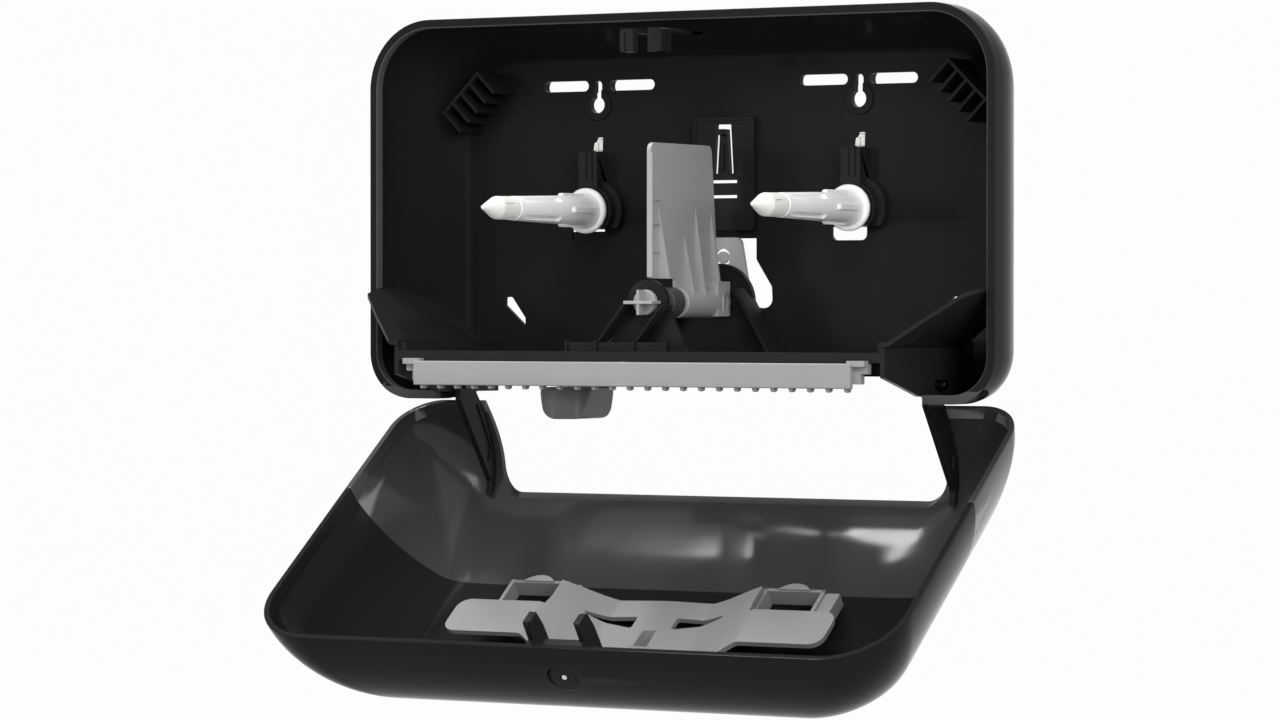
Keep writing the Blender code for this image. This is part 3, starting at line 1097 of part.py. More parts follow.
def cover_window(hinge):
    reach = HALF_WIDTH + OVERRUN
    front = COVER_RIM_Y - COVER_DEPTH - CROWN - OVERRUN
    upper = box(-reach, reach, front, COVER_RIM_Y + OVERRUN, SEAM_Z - GAP / 2, BASE_TOP + OVERRUN)
    back = COVER_RIM_Y + OVERRUN
    outline = rounded([(-CUTOUT_RIM_HALF_WIDTH, back, 0),
                       (-CUTOUT_FRONT_HALF_WIDTH, CUTOUT_FRONT, CUTOUT_CORNER),
                       (CUTOUT_FRONT_HALF_WIDTH, CUTOUT_FRONT, CUTOUT_CORNER),
                       (CUTOUT_RIM_HALF_WIDTH, back, 0)], 6)
    mouth = prism("Z", outline, BASE_BOTTOM - OVERRUN, MOUTH_TOP)
    return node("cover_window", cut(cover_body(), upper, mouth), SMOKE, 0.15,
                origin=hinge.location, parent=hinge, alpha=0.55)


# Hinge arms along the cover's bottom, on both sides of its cutout, and their pins
MOUTH_TOP_OFFSET = 13.0 * MM
MOUTH_TOP = FLOOR_TOP + MOUTH_TOP_OFFSET
ARM_OUTER_OFFSET = 0.6 * MM
ARM_OUTER = CHEEK_INNER - ARM_OUTER_OFFSET
ARM_INNER_OFFSET = 3.2 * MM
ARM_INNER = ARM_OUTER - ARM_INNER_OFFSET
ARM_TOP_OFFSET = 1.6 * MM
ARM_TOP = FLOOR_BOTTOM - ARM_TOP_OFFSET
ARM_TIP_OFFSET = 6.0 * MM
ARM_TIP = FENCE_FRONT - ARM_TIP_OFFSET
ARM_TIP_DEPTH = 4.0 * MM
ARM_STATIONS = 6
PIN_RUN = 5.0 * MM


def hinge_arm(name, side, hinge):
    """A flat arm from the hinge eye along the inside of the cover's bottom."""
    steps = 8
    eye = []
    for step in range(steps + 1):
        turn = math.radians(-60 + 150 * step / steps)
        eye.append((HINGE_Y + HINGE_EYE_RADIUS * math.cos(turn), HINGE_Z + HINGE_EYE_RADIUS * math.sin(turn)))
    start = HINGE_Y - HINGE_EYE_RADIUS
    under = []
    for i in range(ARM_STATIONS):
        y = COVER_RIM_Y + (ARM_TIP - COVER_RIM_Y) * i / (ARM_STATIONS - 1)
        under.append((y, inner_floor(ARM_OUTER, y) + 2 * GAP))
    tip_y, tip_z = under[-1]
    over = [(start, ARM_TOP), (FENCE_FRONT - 2 * GAP, ARM_TOP), (tip_y, tip_z + ARM_TIP_DEPTH)]
    outline = eye + over + list(reversed(under))
    near, far = sorted((side * ARM_INNER, side * ARM_OUTER))
    bore = rod("X", HINGE_Y, HINGE_Z, HINGE_PIN_RADIUS + GAP, near - OVERRUN, far + OVERRUN, 16)
    return node(name, cut(prism("X", outline, near, far), bore), CHARCOAL, 0.35,
                origin=hinge.location, parent=hinge)


def hinge_pin(name, side):
    inner = ARM_INNER - GAP
    profile = [(side * (inner - HINGE_PIN_HEAD_LENGTH), HINGE_PIN_HEAD), (side * inner, HINGE_PIN_HEAD),
               (side * inner, HINGE_PIN_RADIUS), (side * (CHEEK_OUTER + PIN_RUN), HINGE_PIN_RADIUS)]
    return node(name, turned("X", HINGE_Y, HINGE_Z, profile, 16), STEEL, 0.3, metallic=1.0)


# Roll guide plate inside the cover: two lobes, a sunken web and two frames for the spindle tips
PLATE_THICKNESS = 2.5 * MM
LOBE_Y_OFFSET = 20.7 * MM
LOBE_Y = COVER_FRONT + LOBE_Y_OFFSET
WEB_Y_OFFSET = 8.2 * MM
WEB_Y = COVER_FRONT + WEB_Y_OFFSET
LOBE_START_OFFSET = 14.5 * MM
LOBE_START = SPINDLE_X - LOBE_START_OFFSET
WEB_END = 26.0 * MM
LOBE_OUTER_OFFSET = 30.5 * MM
LOBE_OUTER = SPINDLE_X + LOBE_OUTER_OFFSET
LOBE_LOW = 12.5 * MM
LOBE_HIGH = 36.8 * MM
LOBE_CORNER = 7.0 * MM
WEB_LOW = -5.0 * MM
WEB_HIGH = 50.0 * MM
WEB_HIGH_HALF_WIDTH = 24.0 * MM
WAIST_X_OFFSET = 10.0 * MM
WAIST_X = LOBE_START - WAIST_X_OFFSET
WAIST_Z = 43.0 * MM
FRAME_INNER_OFFSET = 19.5 * MM
FRAME_INNER = SPINDLE_X - FRAME_INNER_OFFSET
FRAME_OUTER_OFFSET = 13.5 * MM
FRAME_OUTER = SPINDLE_X + FRAME_OUTER_OFFSET
FRAME_WALL = 2.0 * MM
FRAME_LOW = -9.5 * MM
FRAME_RIM_OFFSET = 5.0 * MM
FRAME_RIM = LOBE_Y - FRAME_RIM_OFFSET
FRAME_FLOOR_OFFSET = 1.0 * MM
FRAME_FLOOR = WEB_Y - FRAME_FLOOR_OFFSET
FRAME_JOIN_Z = 15.0 * MM
WEB_ARM_LOW_END = -6.0 * MM
WEB_ARM_HIGH_END = 6.0 * MM
TRIANGLE_NEAR = 11.0 * MM
TRIANGLE_FAR_OFFSET = 3.0 * MM
TRIANGLE_FAR = FRAME_INNER - TRIANGLE_FAR_OFFSET
BAND_END_OFFSET = 6.6 * MM
BAND_END = FRAME_INNER - BAND_END_OFFSET
TRIANGLE_LOW = 6.8 * MM
TRIANGLE_HIGH = 15.5 * MM
TRIANGLE_TIP = 9.0 * MM
NOTCH_X = FRAME_INNER + FRAME_WALL
POST_HALF_WIDTH = 4.0 * MM
POST_LOW = 16.5 * MM
POST_HIGH = 29.0 * MM
PLATE_CUT_SHARES = (0.0, 0.33, 0.66, 1.0)


def ramp(x, z):
    """The place of the guide plate's face, from its sunken web and lower band out to its lobes."""
    start, end = (BAND_END, FRAME_INNER + OVERRUN) if z < TRIANGLE_TIP + MERGE else (WEB_END, LOBE_START)
    share = min(max((abs(x) - start) / (end - start), 0.0), 1.0)
    return WEB_Y + (LOBE_Y - WEB_Y) * share


def bent_sheet(outline, holes):
    """A flat sheet with holes, folded along upright lines so that it follows the ramp."""
    flat = prism("Y", outline, 0.0, -PLATE_THICKNESS)
    if holes:
        flat = cut(flat, *[prism("Y", hole, OVERRUN, -PLATE_THICKNESS - OVERRUN) for hole in holes])
    bm = bmesh.new()
    bm.from_mesh(flat)
    for side in (-1, 1):
        for share in PLATE_CUT_SHARES:
            x = side * (WEB_END + (LOBE_START - WEB_END) * share)
            geometry = bm.verts[:] + bm.edges[:] + bm.faces[:]
            bmesh.ops.bisect_plane(bm, geom=geometry, dist=MERGE, plane_co=(x, 0, 0), plane_no=(1, 0, 0))
    for vert in bm.verts:
        vert.co.y = ramp(vert.co.x, vert.co.z) - vert.co.y - PLATE_THICKNESS
    return mesh_from(bm)


def roll_guide_plate(hinge):
    half = [(WEB_END, WEB_LOW), (FRAME_INNER + OVERRUN, WEB_ARM_LOW_END),
            (FRAME_INNER + OVERRUN, WEB_ARM_HIGH_END),
            (NOTCH_X, LOBE_LOW)]
    half = half + rounded([(NOTCH_X + OVERRUN, LOBE_LOW, 0), (LOBE_OUTER, LOBE_LOW, LOBE_CORNER),
                           (LOBE_OUTER, LOBE_HIGH, LOBE_CORNER), (LOBE_START, LOBE_HIGH, 0)])[1:]
    half = half + [(WAIST_X, WAIST_Z), (WEB_HIGH_HALF_WIDTH, WEB_HIGH)]
    outline = mirrored(half)
    holes = []
    for side in (-1, 1):
        holes.append([(side * TRIANGLE_NEAR, TRIANGLE_LOW), (side * TRIANGLE_FAR, TRIANGLE_TIP),
                      (side * TRIANGLE_NEAR, TRIANGLE_HIGH)])
    parts = []
    joint_y = LOBE_Y - PLATE_THICKNESS / 2
    for side in (-1, 1):
        frame = [(FRAME_FLOOR, FRAME_LOW), (FRAME_RIM, FRAME_LOW), (FRAME_RIM, LOBE_LOW),
                 (joint_y, LOBE_LOW + OVERRUN),
                 (joint_y, FRAME_JOIN_Z), (FRAME_FLOOR, FRAME_JOIN_Z)]
        for x in (FRAME_INNER, FRAME_OUTER - FRAME_WALL):
            near, far = sorted((side * x, side * (x + FRAME_WALL)))
            parts.append(prism("X", frame, near, far))
        near, far = sorted((side * FRAME_INNER, side * FRAME_OUTER))
        parts.append(box(near, far, FRAME_FLOOR, FRAME_RIM, FRAME_LOW, FRAME_LOW + FRAME_WALL))
    post_floor = max(point.y for point in dome(COVER_WALL)[-1]) + GAP
    parts.append(box(-POST_HALF_WIDTH, POST_HALF_WIDTH, post_floor, WEB_Y, POST_LOW, POST_HIGH))
    mesh = join(bent_sheet(outline, holes), *parts)
    return node("roll_guide_plate", mesh, GREY, 0.42, origin=hinge.location, parent=hinge)


# Lock in the cover's top: housing with two cheeks, turned cylinder and cam
LOCK_RECESS = 8.0 * MM
LOCK_HOLE_BOTTOM_OFFSET = 12.3 * MM
LOCK_HOLE_BOTTOM = BASE_TOP - LOCK_HOLE_BOTTOM_OFFSET
LOCK_FACE_OFFSET = 2.7 * MM
LOCK_FACE = BASE_TOP - LOCK_FACE_OFFSET
LOCK_FACE_THICKNESS = 1.8 * MM
LOCK_BARREL = 4.6 * MM
LOCK_SHAFT = 3.0 * MM
LOCK_SHAFT_TOP_OFFSET = 5.8 * MM
LOCK_SHAFT_TOP = LOCK_FACE - LOCK_SHAFT_TOP_OFFSET
LOCK_END_OFFSET = 16.0 * MM
LOCK_END = LOCK_FACE - LOCK_END_OFFSET
LOCK_END_RADIUS = 2.1 * MM
KEYWAY_HALF_WIDTH = 0.8 * MM
KEYWAY_HALF_LENGTH = 2.6 * MM
KEYWAY_DEPTH = 1.2 * MM
CAM_HALF_LENGTH = 8.7 * MM
CAM_HALF_WIDTH = 2.5 * MM
CAM_TOP_OFFSET = 4.4 * MM
CAM_TOP = LOCK_END + CAM_TOP_OFFSET
CAM_BOTTOM_OFFSET = 3.0 * MM
CAM_BOTTOM = CAM_TOP - CAM_BOTTOM_OFFSET
HOUSING_HALF_WIDTH = 15.4 * MM
HOUSING_FRONT_OFFSET = 6.2 * MM
HOUSING_FRONT = LOCK_Y - HOUSING_FRONT_OFFSET
HOUSING_BACK_OFFSET = 18.8 * MM
HOUSING_BACK = LOCK_Y + HOUSING_BACK_OFFSET
HOUSING_BOTTOM_OFFSET = 6.2 * MM
HOUSING_BOTTOM = LOCK_FACE - HOUSING_BOTTOM_OFFSET
HOUSING_CHEEK_INNER = 12.6 * MM
HOUSING_CHEEK_LOW_OFFSET = 10.4 * MM
HOUSING_CHEEK_LOW = HOUSING_BOTTOM - HOUSING_CHEEK_LOW_OFFSET
HOUSING_HOOK_BACK_OFFSET = 10.0 * MM
HOUSING_HOOK_BACK = HOUSING_BACK + HOUSING_HOOK_BACK_OFFSET
HOUSING_HOOK_TOP_OFFSET = 0.6 * MM
HOUSING_HOOK_TOP = HOUSING_BOTTOM + HOUSING_HOOK_TOP_OFFSET
HOUSING_STATIONS = 5


def lock_housing(hinge):
    top = []
    for i in range(HOUSING_STATIONS):
        y = HOUSING_FRONT + (HOUSING_BACK - HOUSING_FRONT) * i / (HOUSING_STATIONS - 1)
        top.append((y, inner_top(y) - GAP))
    plate = prism("X", [(HOUSING_BACK, HOUSING_BOTTOM), (HOUSING_FRONT, HOUSING_BOTTOM)] + top,
                  -HOUSING_HALF_WIDTH, HOUSING_HALF_WIDTH)
    cheeks = []
    for side in (-1, 1):
        outline = [(HOUSING_FRONT + 2 * OVERRUN, HOUSING_BOTTOM + OVERRUN), (LOCK_Y, HOUSING_CHEEK_LOW),
                   (HOUSING_BACK, HOUSING_CHEEK_LOW), (HOUSING_HOOK_BACK, HOUSING_CHEEK_LOW + 2 * OVERRUN),
                   (HOUSING_HOOK_BACK, HOUSING_HOOK_TOP), (HOUSING_BACK, HOUSING_BOTTOM + OVERRUN)]
        near, far = sorted((side * HOUSING_CHEEK_INNER, side * HOUSING_HALF_WIDTH))
        cheeks.append(prism("X", outline, near, far))
    bore = rod("Z", 0.0, LOCK_Y, LOCK_BARREL + GAP, HOUSING_BOTTOM - OVERRUN, BASE_TOP)
    mouth = rod("Z", 0.0, LOCK_Y, LOCK_RECESS + GAP, LOCK_FACE - LOCK_FACE_THICKNESS - GAP, BASE_TOP, 32)
    return node("lock_housing", cut(join(plate, *cheeks), bore, mouth), BLACK, 0.4,
                origin=hinge.location, parent=hinge)


def lock_cylinder(hinge):
    profile = [(LOCK_FACE, LOCK_RECESS), (LOCK_FACE - LOCK_FACE_THICKNESS, LOCK_RECESS),
               (LOCK_FACE - LOCK_FACE_THICKNESS, LOCK_BARREL), (LOCK_SHAFT_TOP, LOCK_BARREL),
               (LOCK_SHAFT_TOP, LOCK_SHAFT), (CAM_TOP + GAP, LOCK_SHAFT), (CAM_TOP + GAP, LOCK_END_RADIUS),
               (LOCK_END, LOCK_END_RADIUS)]
    mesh = turned("Z", 0.0, LOCK_Y, profile)
    keyway = box(-KEYWAY_HALF_LENGTH, KEYWAY_HALF_LENGTH,
                 LOCK_Y - KEYWAY_HALF_WIDTH, LOCK_Y + KEYWAY_HALF_WIDTH,
                 LOCK_FACE - KEYWAY_DEPTH, LOCK_FACE + OVERRUN)
    return node("lock_cylinder", cut(mesh, keyway), CHARCOAL, 0.3,
                origin=(0.0, LOCK_Y, LOCK_FACE), parent=hinge)


def lock_cam(hinge):
    bar = box(-CAM_HALF_WIDTH, CAM_HALF_WIDTH, LOCK_Y - CAM_HALF_LENGTH, LOCK_Y + CAM_HALF_LENGTH,
              CAM_BOTTOM, CAM_TOP)
    hub = rod("Z", 0.0, LOCK_Y, CAM_HALF_WIDTH + OVERRUN, CAM_BOTTOM, CAM_TOP)
    bore = rod("Z", 0.0, LOCK_Y, LOCK_END_RADIUS + GAP, CAM_BOTTOM - OVERRUN, CAM_TOP + OVERRUN)
    return node("lock_cam", cut(join(bar, hub), bore), CHARCOAL, 0.35,
                origin=(0.0, LOCK_Y, LOCK_FACE), parent=hinge)


def main():
    for obj in list(bpy.data.objects):
        bpy.data.objects.remove(obj)
    base_housing()
    chute_frame()
    tear_bar()
    centre_panel()
    latch_catch()
    front_bracket()
    rear_bracket()
    flap_pivot_pin()
    flap()
    selector_lever()
    for word, side in (("left", -1), ("right", 1)):
        hub_ring(f"hub_ring_{word}", side)
        spindle(f"spindle_{word}", side)
        spindle_tip(f"spindle_tip_{word}", side)
        spindle_latch(f"spindle_latch_{word}", side)
        hinge_pin(f"hinge_pin_{word}", side)
    hinge = bpy.data.objects.new("cover_hinge_axis", None)
    hinge.location = (0.0, HINGE_Y, HINGE_Z)
    bpy.context.collection.objects.link(hinge)
    cover_shell(hinge)
    cover_window(hinge)
    for word, side in (("left", -1), ("right", 1)):
        hinge_arm(f"hinge_arm_{word}", side, hinge)
    roll_guide_plate(hinge)
    lock_housing(hinge)
    lock_cylinder(hinge)
    lock_cam(hinge)
    hinge.rotation_euler.x = OPEN_ANGLE


main()
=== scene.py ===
import json
import math
from contextlib import contextmanager

import bpy
from bpy.props import FloatProperty, FloatVectorProperty, IntProperty, PointerProperty
from mathutils import Matrix, Vector

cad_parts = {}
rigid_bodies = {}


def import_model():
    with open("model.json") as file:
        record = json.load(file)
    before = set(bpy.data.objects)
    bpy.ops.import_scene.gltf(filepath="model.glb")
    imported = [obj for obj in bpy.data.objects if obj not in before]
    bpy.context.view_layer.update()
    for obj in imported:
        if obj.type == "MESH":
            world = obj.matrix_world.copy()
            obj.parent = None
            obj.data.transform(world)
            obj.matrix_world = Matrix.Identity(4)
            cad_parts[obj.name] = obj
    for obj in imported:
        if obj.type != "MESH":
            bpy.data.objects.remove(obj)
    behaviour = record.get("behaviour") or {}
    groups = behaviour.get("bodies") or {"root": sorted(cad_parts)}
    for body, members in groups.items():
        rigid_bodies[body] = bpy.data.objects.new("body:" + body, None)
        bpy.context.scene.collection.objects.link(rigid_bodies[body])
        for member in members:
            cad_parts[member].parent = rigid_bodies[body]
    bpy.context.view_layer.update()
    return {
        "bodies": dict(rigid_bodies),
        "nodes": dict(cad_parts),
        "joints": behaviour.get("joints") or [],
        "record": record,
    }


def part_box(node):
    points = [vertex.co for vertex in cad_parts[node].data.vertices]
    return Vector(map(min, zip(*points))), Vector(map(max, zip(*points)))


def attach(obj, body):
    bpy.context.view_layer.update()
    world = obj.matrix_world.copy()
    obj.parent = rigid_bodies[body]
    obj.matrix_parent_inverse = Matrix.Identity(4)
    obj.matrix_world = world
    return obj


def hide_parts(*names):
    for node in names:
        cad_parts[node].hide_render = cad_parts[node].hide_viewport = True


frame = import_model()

bl_info = {
    "name": "Double Roll Dispenser",
    "version": (1, 0, 0),
    "blender": (4, 5, 0),
    "location": "View3D > Sidebar > Dispenser",
    "description": "Builds the finished surfaces of a wall dispenser for two toilet rolls",
    "category": "Add Mesh",
}

MM = 0.001
GAP = 0.3 * MM
OVER = 1.0 * MM
WELD = 0.002 * MM
SMOOTH_ANGLE = 32.0


# Bench: measures, selecting, drawing, cutting and finishing
def mm(*values):
    """Lengths in metres from numbers of millimetres."""
    return tuple(value * MM for value in values)


def mm_rows(*rows):
    """Points, or points with a radius, from rows in millimetres."""
    return [mm(*row) for row in rows]


def span(side, near, far):
    """The lower and the higher end of a stretch in millimetres, on one side of the middle."""
    return sorted((side * near * MM, side * far * MM))


def deselect():
    """Object mode, with nothing selected."""
    if bpy.context.mode != "OBJECT":
        bpy.ops.object.mode_set(mode="OBJECT")
    bpy.ops.object.select_all(action="DESELECT")


def choose(piece):
    """Selects one piece alone and makes it active."""
    deselect()
    piece.select_set(True)
    bpy.context.view_layer.objects.active = piece
    return piece


@contextmanager
def editing(piece, everything=False):
    """Edit mode on one piece, with nothing or everything of it selected."""
    choose(piece)
    bpy.ops.object.mode_set(mode="EDIT")
    bpy.ops.mesh.select_mode(type="FACE")
    bpy.ops.mesh.select_all(action="SELECT" if everything else "DESELECT")
    try:
        yield piece
    finally:
        bpy.ops.object.mode_set(mode="OBJECT")


def place(axis, a, b, along):
    """A point from its place along an axis and its two places across it."""
    if axis == "X":
        return Vector((along, a, b))
    if axis == "Y":
        return Vector((a, along, b))
    return Vector((a, b, along))


def outward(piece):
    """Turns all the faces of a piece to the outside."""
    with editing(piece, everything=True):
        bpy.ops.mesh.normals_make_consistent(inside=False)
    return piece


def slab(axis, outline, start, end):
    """An outline set out on a filled circle of as many corners, and pulled along the axis."""
    deselect()
    bpy.ops.mesh.primitive_circle_add(vertices=len(outline), radius=OVER, fill_type="NGON")
    piece = bpy.context.object
    for vert, (a, b) in zip(piece.data.vertices, outline):
        vert.co = place(axis, a, b, start)
    with editing(piece, everything=True):
        run = place(axis, 0.0, 0.0, end - start)
        bpy.ops.mesh.extrude_region_move(TRANSFORM_OT_translate={"value": run})
        bpy.ops.mesh.select_all(action="SELECT")
        bpy.ops.mesh.normals_make_consistent(inside=False)
    return piece


def block(x0, x1, y0, y1, z0, z1, edge=0.0):
    """A block between two corners, with its edges bevelled where a width is given."""
    deselect()
    middle = ((x0 + x1) / 2, (y0 + y1) / 2, (z0 + z1) / 2)
    bpy.ops.mesh.primitive_cube_add(size=1.0, location=middle, scale=(x1 - x0, y1 - y0, z1 - z0))
    piece = bpy.context.object
    bpy.ops.object.transform_apply(location=True, rotation=True, scale=True)
    if edge:
        with editing(piece, everything=True):
            bpy.ops.mesh.bevel(offset=edge, segments=2, affect="EDGES", clamp_overlap=True)
    return piece


FACING = {"X": (0.0, math.pi / 2, 0.0), "Y": (math.pi / 2, 0.0, 0.0), "Z": (0.0, 0.0, 0.0)}


def turned(axis, a, b, profile, sides=48):
    """A turned shape: a disc pulled out and resized from one step of its profile to the next."""
    deselect()
    along, radius = profile[0]
    bpy.ops.mesh.primitive_circle_add(vertices=sides, radius=radius, fill_type="NGON",
                                      location=place(axis, a, b, along), rotation=FACING[axis])
    piece = bpy.context.object
    bpy.ops.object.transform_apply(location=True, rotation=True, scale=True)
    with editing(piece, everything=True):
        for (here, before), (there, after) in zip(profile, profile[1:]):
            run = place(axis, 0.0, 0.0, there - here)
            bpy.ops.mesh.extrude_region_move(TRANSFORM_OT_translate={"value": run})
            grow = after / before
            bpy.ops.transform.resize(value=place(axis, grow, grow, 1.0),
                                     center_override=place(axis, a, b, there))
        bpy.ops.mesh.select_all(action="SELECT")
        bpy.ops.mesh.normals_make_consistent(inside=False)
    return piece


def rod(axis, a, b, radius, start, end, sides=48):
    """A round rod along an axis."""
    return turned(axis, a, b, [(start, radius), (end, radius)], sides)


def skin(rows):
    """A skin over rows of points, laid on a grid whose seam is welded and whose ends are filled."""
    columns = len(rows[0])
    deselect()
    bpy.ops.mesh.primitive_grid_add(x_subdivisions=columns, y_subdivisions=len(rows) - 1)
    piece = bpy.context.object
    points = [row[i % columns] for row in rows for i in range(columns + 1)]
    piece.data.vertices.foreach_set("co", [value for point in points for value in point])
    with editing(piece, everything=True):
        bpy.ops.mesh.remove_doubles(threshold=WELD)
        bpy.ops.mesh.select_all(action="DESELECT")
        bpy.ops.mesh.select_mode(type="EDGE")
        bpy.ops.mesh.select_non_manifold()
        bpy.ops.mesh.fill_holes(sides=0)
        bpy.ops.mesh.select_all(action="SELECT")
        bpy.ops.mesh.normals_make_consistent(inside=False)
    return piece


def joined(pieces):
    """Several loose shapes as one object, each still closed by itself."""
    choose(pieces[0])
    for piece in pieces:
        piece.select_set(True)
    if len(pieces) > 1:
        bpy.ops.object.join()
    return pieces[0]


def combine(piece, tools, operation):
    """One boolean for each tool, after which the tool is removed."""
    for tool in tools:
        choose(piece)
        bpy.ops.object.modifier_add(type="BOOLEAN")
        modifier = piece.modifiers[-1]
        modifier.operation = operation
        modifier.solver = "EXACT"
        modifier.object = tool
        bpy.ops.object.modifier_apply(modifier=modifier.name)
        bpy.data.objects.remove(tool)
    return piece


def cut(piece, *tools):
    """Takes several tools away in one step."""
    return combine(piece, [joined(list(tools))], "DIFFERENCE")


def cut_each(piece, *tools):
    """Takes several tools away, one after the other."""
    return combine(piece, tools, "DIFFERENCE")


def weld(piece, *others):
    """Adds several closed shapes, one after the other."""
    return combine(piece, others, "UNION")


def soften(piece, width, segments=2, angle=40.0):
    """Rounds every edge that is sharper than an angle in degrees."""
    choose(piece)
    bpy.ops.object.modifier_add(type="BEVEL")
    modifier = piece.modifiers[-1]
    modifier.width = width
    modifier.segments = segments
    modifier.limit_method = "ANGLE"
    modifier.angle_limit = math.radians(angle)
    modifier.use_clamp_overlap = True
    bpy.ops.object.modifier_apply(modifier=modifier.name)
    return piece


def copied(piece, shift=(0.0, 0.0, 0.0)):
    """A copy with its own mesh, moved by a shift."""
    twin = piece.copy()
    twin.data = piece.data.copy()
    bpy.context.collection.objects.link(twin)
    twin.data.transform(Matrix.Translation(shift))
    return twin


def swing_open(piece, props):
    """Turns a cover piece, drawn as it lies when shut, to where it hangs open."""
    hinge = Vector((0.0, props.hinge_depth, props.hinge_height))
    turn = Matrix.Rotation(props.open_angle, 4, "X")
    piece.data.transform(Matrix.Translation(hinge) @ turn @ Matrix.Translation(-hinge))
    return piece


def finish(piece, name, body, slot, material, *nodes, smooth=SMOOTH_ANGLE):
    """Names a piece, smooths it, gives it its material, and stands it in for its solids."""
    choose(piece)
    bpy.ops.object.transform_apply(location=True, rotation=True, scale=True)
    bpy.ops.object.shade_smooth_by_angle(angle=math.radians(smooth), keep_sharp_edges=False)
    bpy.ops.object.modifier_add(type="WEIGHTED_NORMAL")
    modifier = piece.modifiers[-1]
    modifier.keep_sharp = True
    bpy.ops.object.modifier_apply(modifier=modifier.name)
    piece.name = name
    piece.data.name = name
    piece.data.materials.clear()
    piece.data.materials.append(material)
    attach(piece, body)
    if nodes:
        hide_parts(*nodes)
    return piece


# Outlines
def rounded(corners, steps=6):
    """An outline whose corners, given as (a, b, radius), are rounded where there is a radius."""
    points = []
    count = len(corners)
    for i, (a, b, radius) in enumerate(corners):
        here = Vector((a, b))
        if radius == 0:
            points.append((a, b))
            continue
        before = (Vector(corners[i - 1][:2]) - here).normalized()
        after = (Vector(corners[(i + 1) % count][:2]) - here).normalized()
        half = before.angle(after) / 2
        centre = here + (before + after).normalized() * (radius / math.sin(half))
        start = here + before * (radius / math.tan(half)) - centre
        end = here + after * (radius / math.tan(half)) - centre
        turn = start.angle_signed(end)
        for step in range(steps + 1):
            spoke = start.copy()
            spoke.rotate(Matrix.Rotation(-turn * step / steps, 2))
            points.append(tuple(centre + spoke))
    return points


def mirrored(points):
    """The right half of an outline, followed by its mirror image."""
    return points + [(-a, b) for a, b in reversed(points)]


def box_outline(a0, a1, b0, b1, radius=0.0, steps=6):
    """A rectangle, with round corners where a radius is given."""
    return rounded([(a0, b0, radius), (a1, b0, radius), (a1, b1, radius), (a0, b1, radius)], steps)


CORNER_STEPS = 18
STRAIGHT_STEPS = 8


def upright_frame(half_width, bottom, top, lower_radius, upper_radius, y):
    """The points of an upright rounded frame, with its straight sides divided too."""
    room = (top - bottom) / (lower_radius + upper_radius)
    if room < 1:
        lower_radius *= room
        upper_radius *= room
    corners = [(half_width - upper_radius, top - upper_radius, upper_radius, 0),
               (upper_radius - half_width, top - upper_radius, upper_radius, 1),
               (lower_radius - half_width, bottom + lower_radius, lower_radius, 2),
               (half_width - lower_radius, bottom + lower_radius, lower_radius, 3)]
    arcs = []
    for x, z, radius, quarter in corners:
        turns = [(quarter + step / CORNER_STEPS) * math.pi / 2 for step in range(CORNER_STEPS + 1)]
        arcs.append([Vector((x + radius * math.cos(turn), y,
                             z + radius * math.sin(turn))) for turn in turns])
    points = []
    for arc, following in zip(arcs, arcs[1:] + arcs[:1]):
        points += arc
        points += [arc[-1].lerp(following[0], step / STRAIGHT_STEPS) for step in range(1, STRAIGHT_STEPS)]
    return points


# Materials
OBJECT_PLACE = 3
POINTEDNESS = 7
DEPTH = 1
IS_CAMERA, IS_GLOSSY, IS_TRANSMISSION = 0, 3, 6
# Pointedness over which raised edges turn lighter, partly as rubbing and partly as a painted highlight.
RAISED = (0.525, 0.62)
FLOW_STRETCH = (22.0, 22.0, 5.0)
FLOW_SCALE = 1.6
SMUDGE_SCALE = 31.0
TEXTURE_SCALE = 2600.0
SCRATCH_TURN = (0.4, 0.9, 0.3)
SCRATCH_STRETCH = (900.0, 900.0, 26.0)
RING_STRETCH = (4200.0, 60.0, 60.0)
# How far behind the rim the painted edge highlight fades out.
RIM_HIGHLIGHT_FADE = 4.0 * MM
MOULDED_BUMP = 0.00006
TURNED_BUMP = 0.00003


class Wire:
    """A shader socket that is added to, multiplied and compared like a number."""

    def __init__(self, tree, socket=None):
        self.tree = tree
        self.socket = socket

    def node(self, kind, settings=None, output=0, **values):
        """Adds a node, sets it up, and feeds its sockets with numbers or other wires."""
        made = self.tree.nodes.new(kind)
        for key, value in (settings or {}).items():
            if key == "stops":
                ramp = made.color_ramp
                while len(ramp.elements) < len(value):
                    ramp.elements.new(1.0)
                for element, (position, shade) in zip(ramp.elements, value):
                    element.position = position
                    element.color = (shade, shade, shade, 1.0)
            else:
                setattr(made, key, value)
        for key, value in values.items():
            target = made.inputs[int(key[1:])] if key[0] == "n" and key[1:].isdigit() else made.inputs[key]
            if isinstance(value, Wire):
                self.tree.links.new(value.socket, target)
            else:
                target.default_value = value
        return Wire(self.tree, made.outputs[output])

    def maths(self, operation, other, flip=False):
        """This wire and another value, taken together in either order."""
        first, second = (other, self) if flip else (self, other)
        return self.node("ShaderNodeMath", {"operation": operation}, n0=first, n1=second)

    def __add__(self, other):
        return self.maths("ADD", other)

    def __sub__(self, other):
        return self.maths("SUBTRACT", other)

    def __rsub__(self, other):
        return self.maths("SUBTRACT", other, True)

    def __mul__(self, other):
        return self.maths("MULTIPLY", other)

    def step(self, low, high):
        """Zero under the low value, one over the high one, and smooth between them."""
        return self.node("ShaderNodeMapRange", {"interpolation_type": "SMOOTHSTEP"},
                         n0=self, n1=low, n2=high, n3=0.0, n4=1.0)

    def seen(self):
        """One for camera, glossy and transmission rays, and zero for the rest."""
        rays = [self.node("ShaderNodeLightPath", output=output) for output in (IS_CAMERA, IS_GLOSSY,
                                                                               IS_TRANSMISSION)]
        return (rays[0] + rays[1] + rays[2]).maths("MINIMUM", 1.0)

    def blend(self, low, high):
        """A colour between two, by this wire."""
        return self.node("ShaderNodeMix", {"data_type": "RGBA"}, output=2, n0=self, n6=low, n7=high)


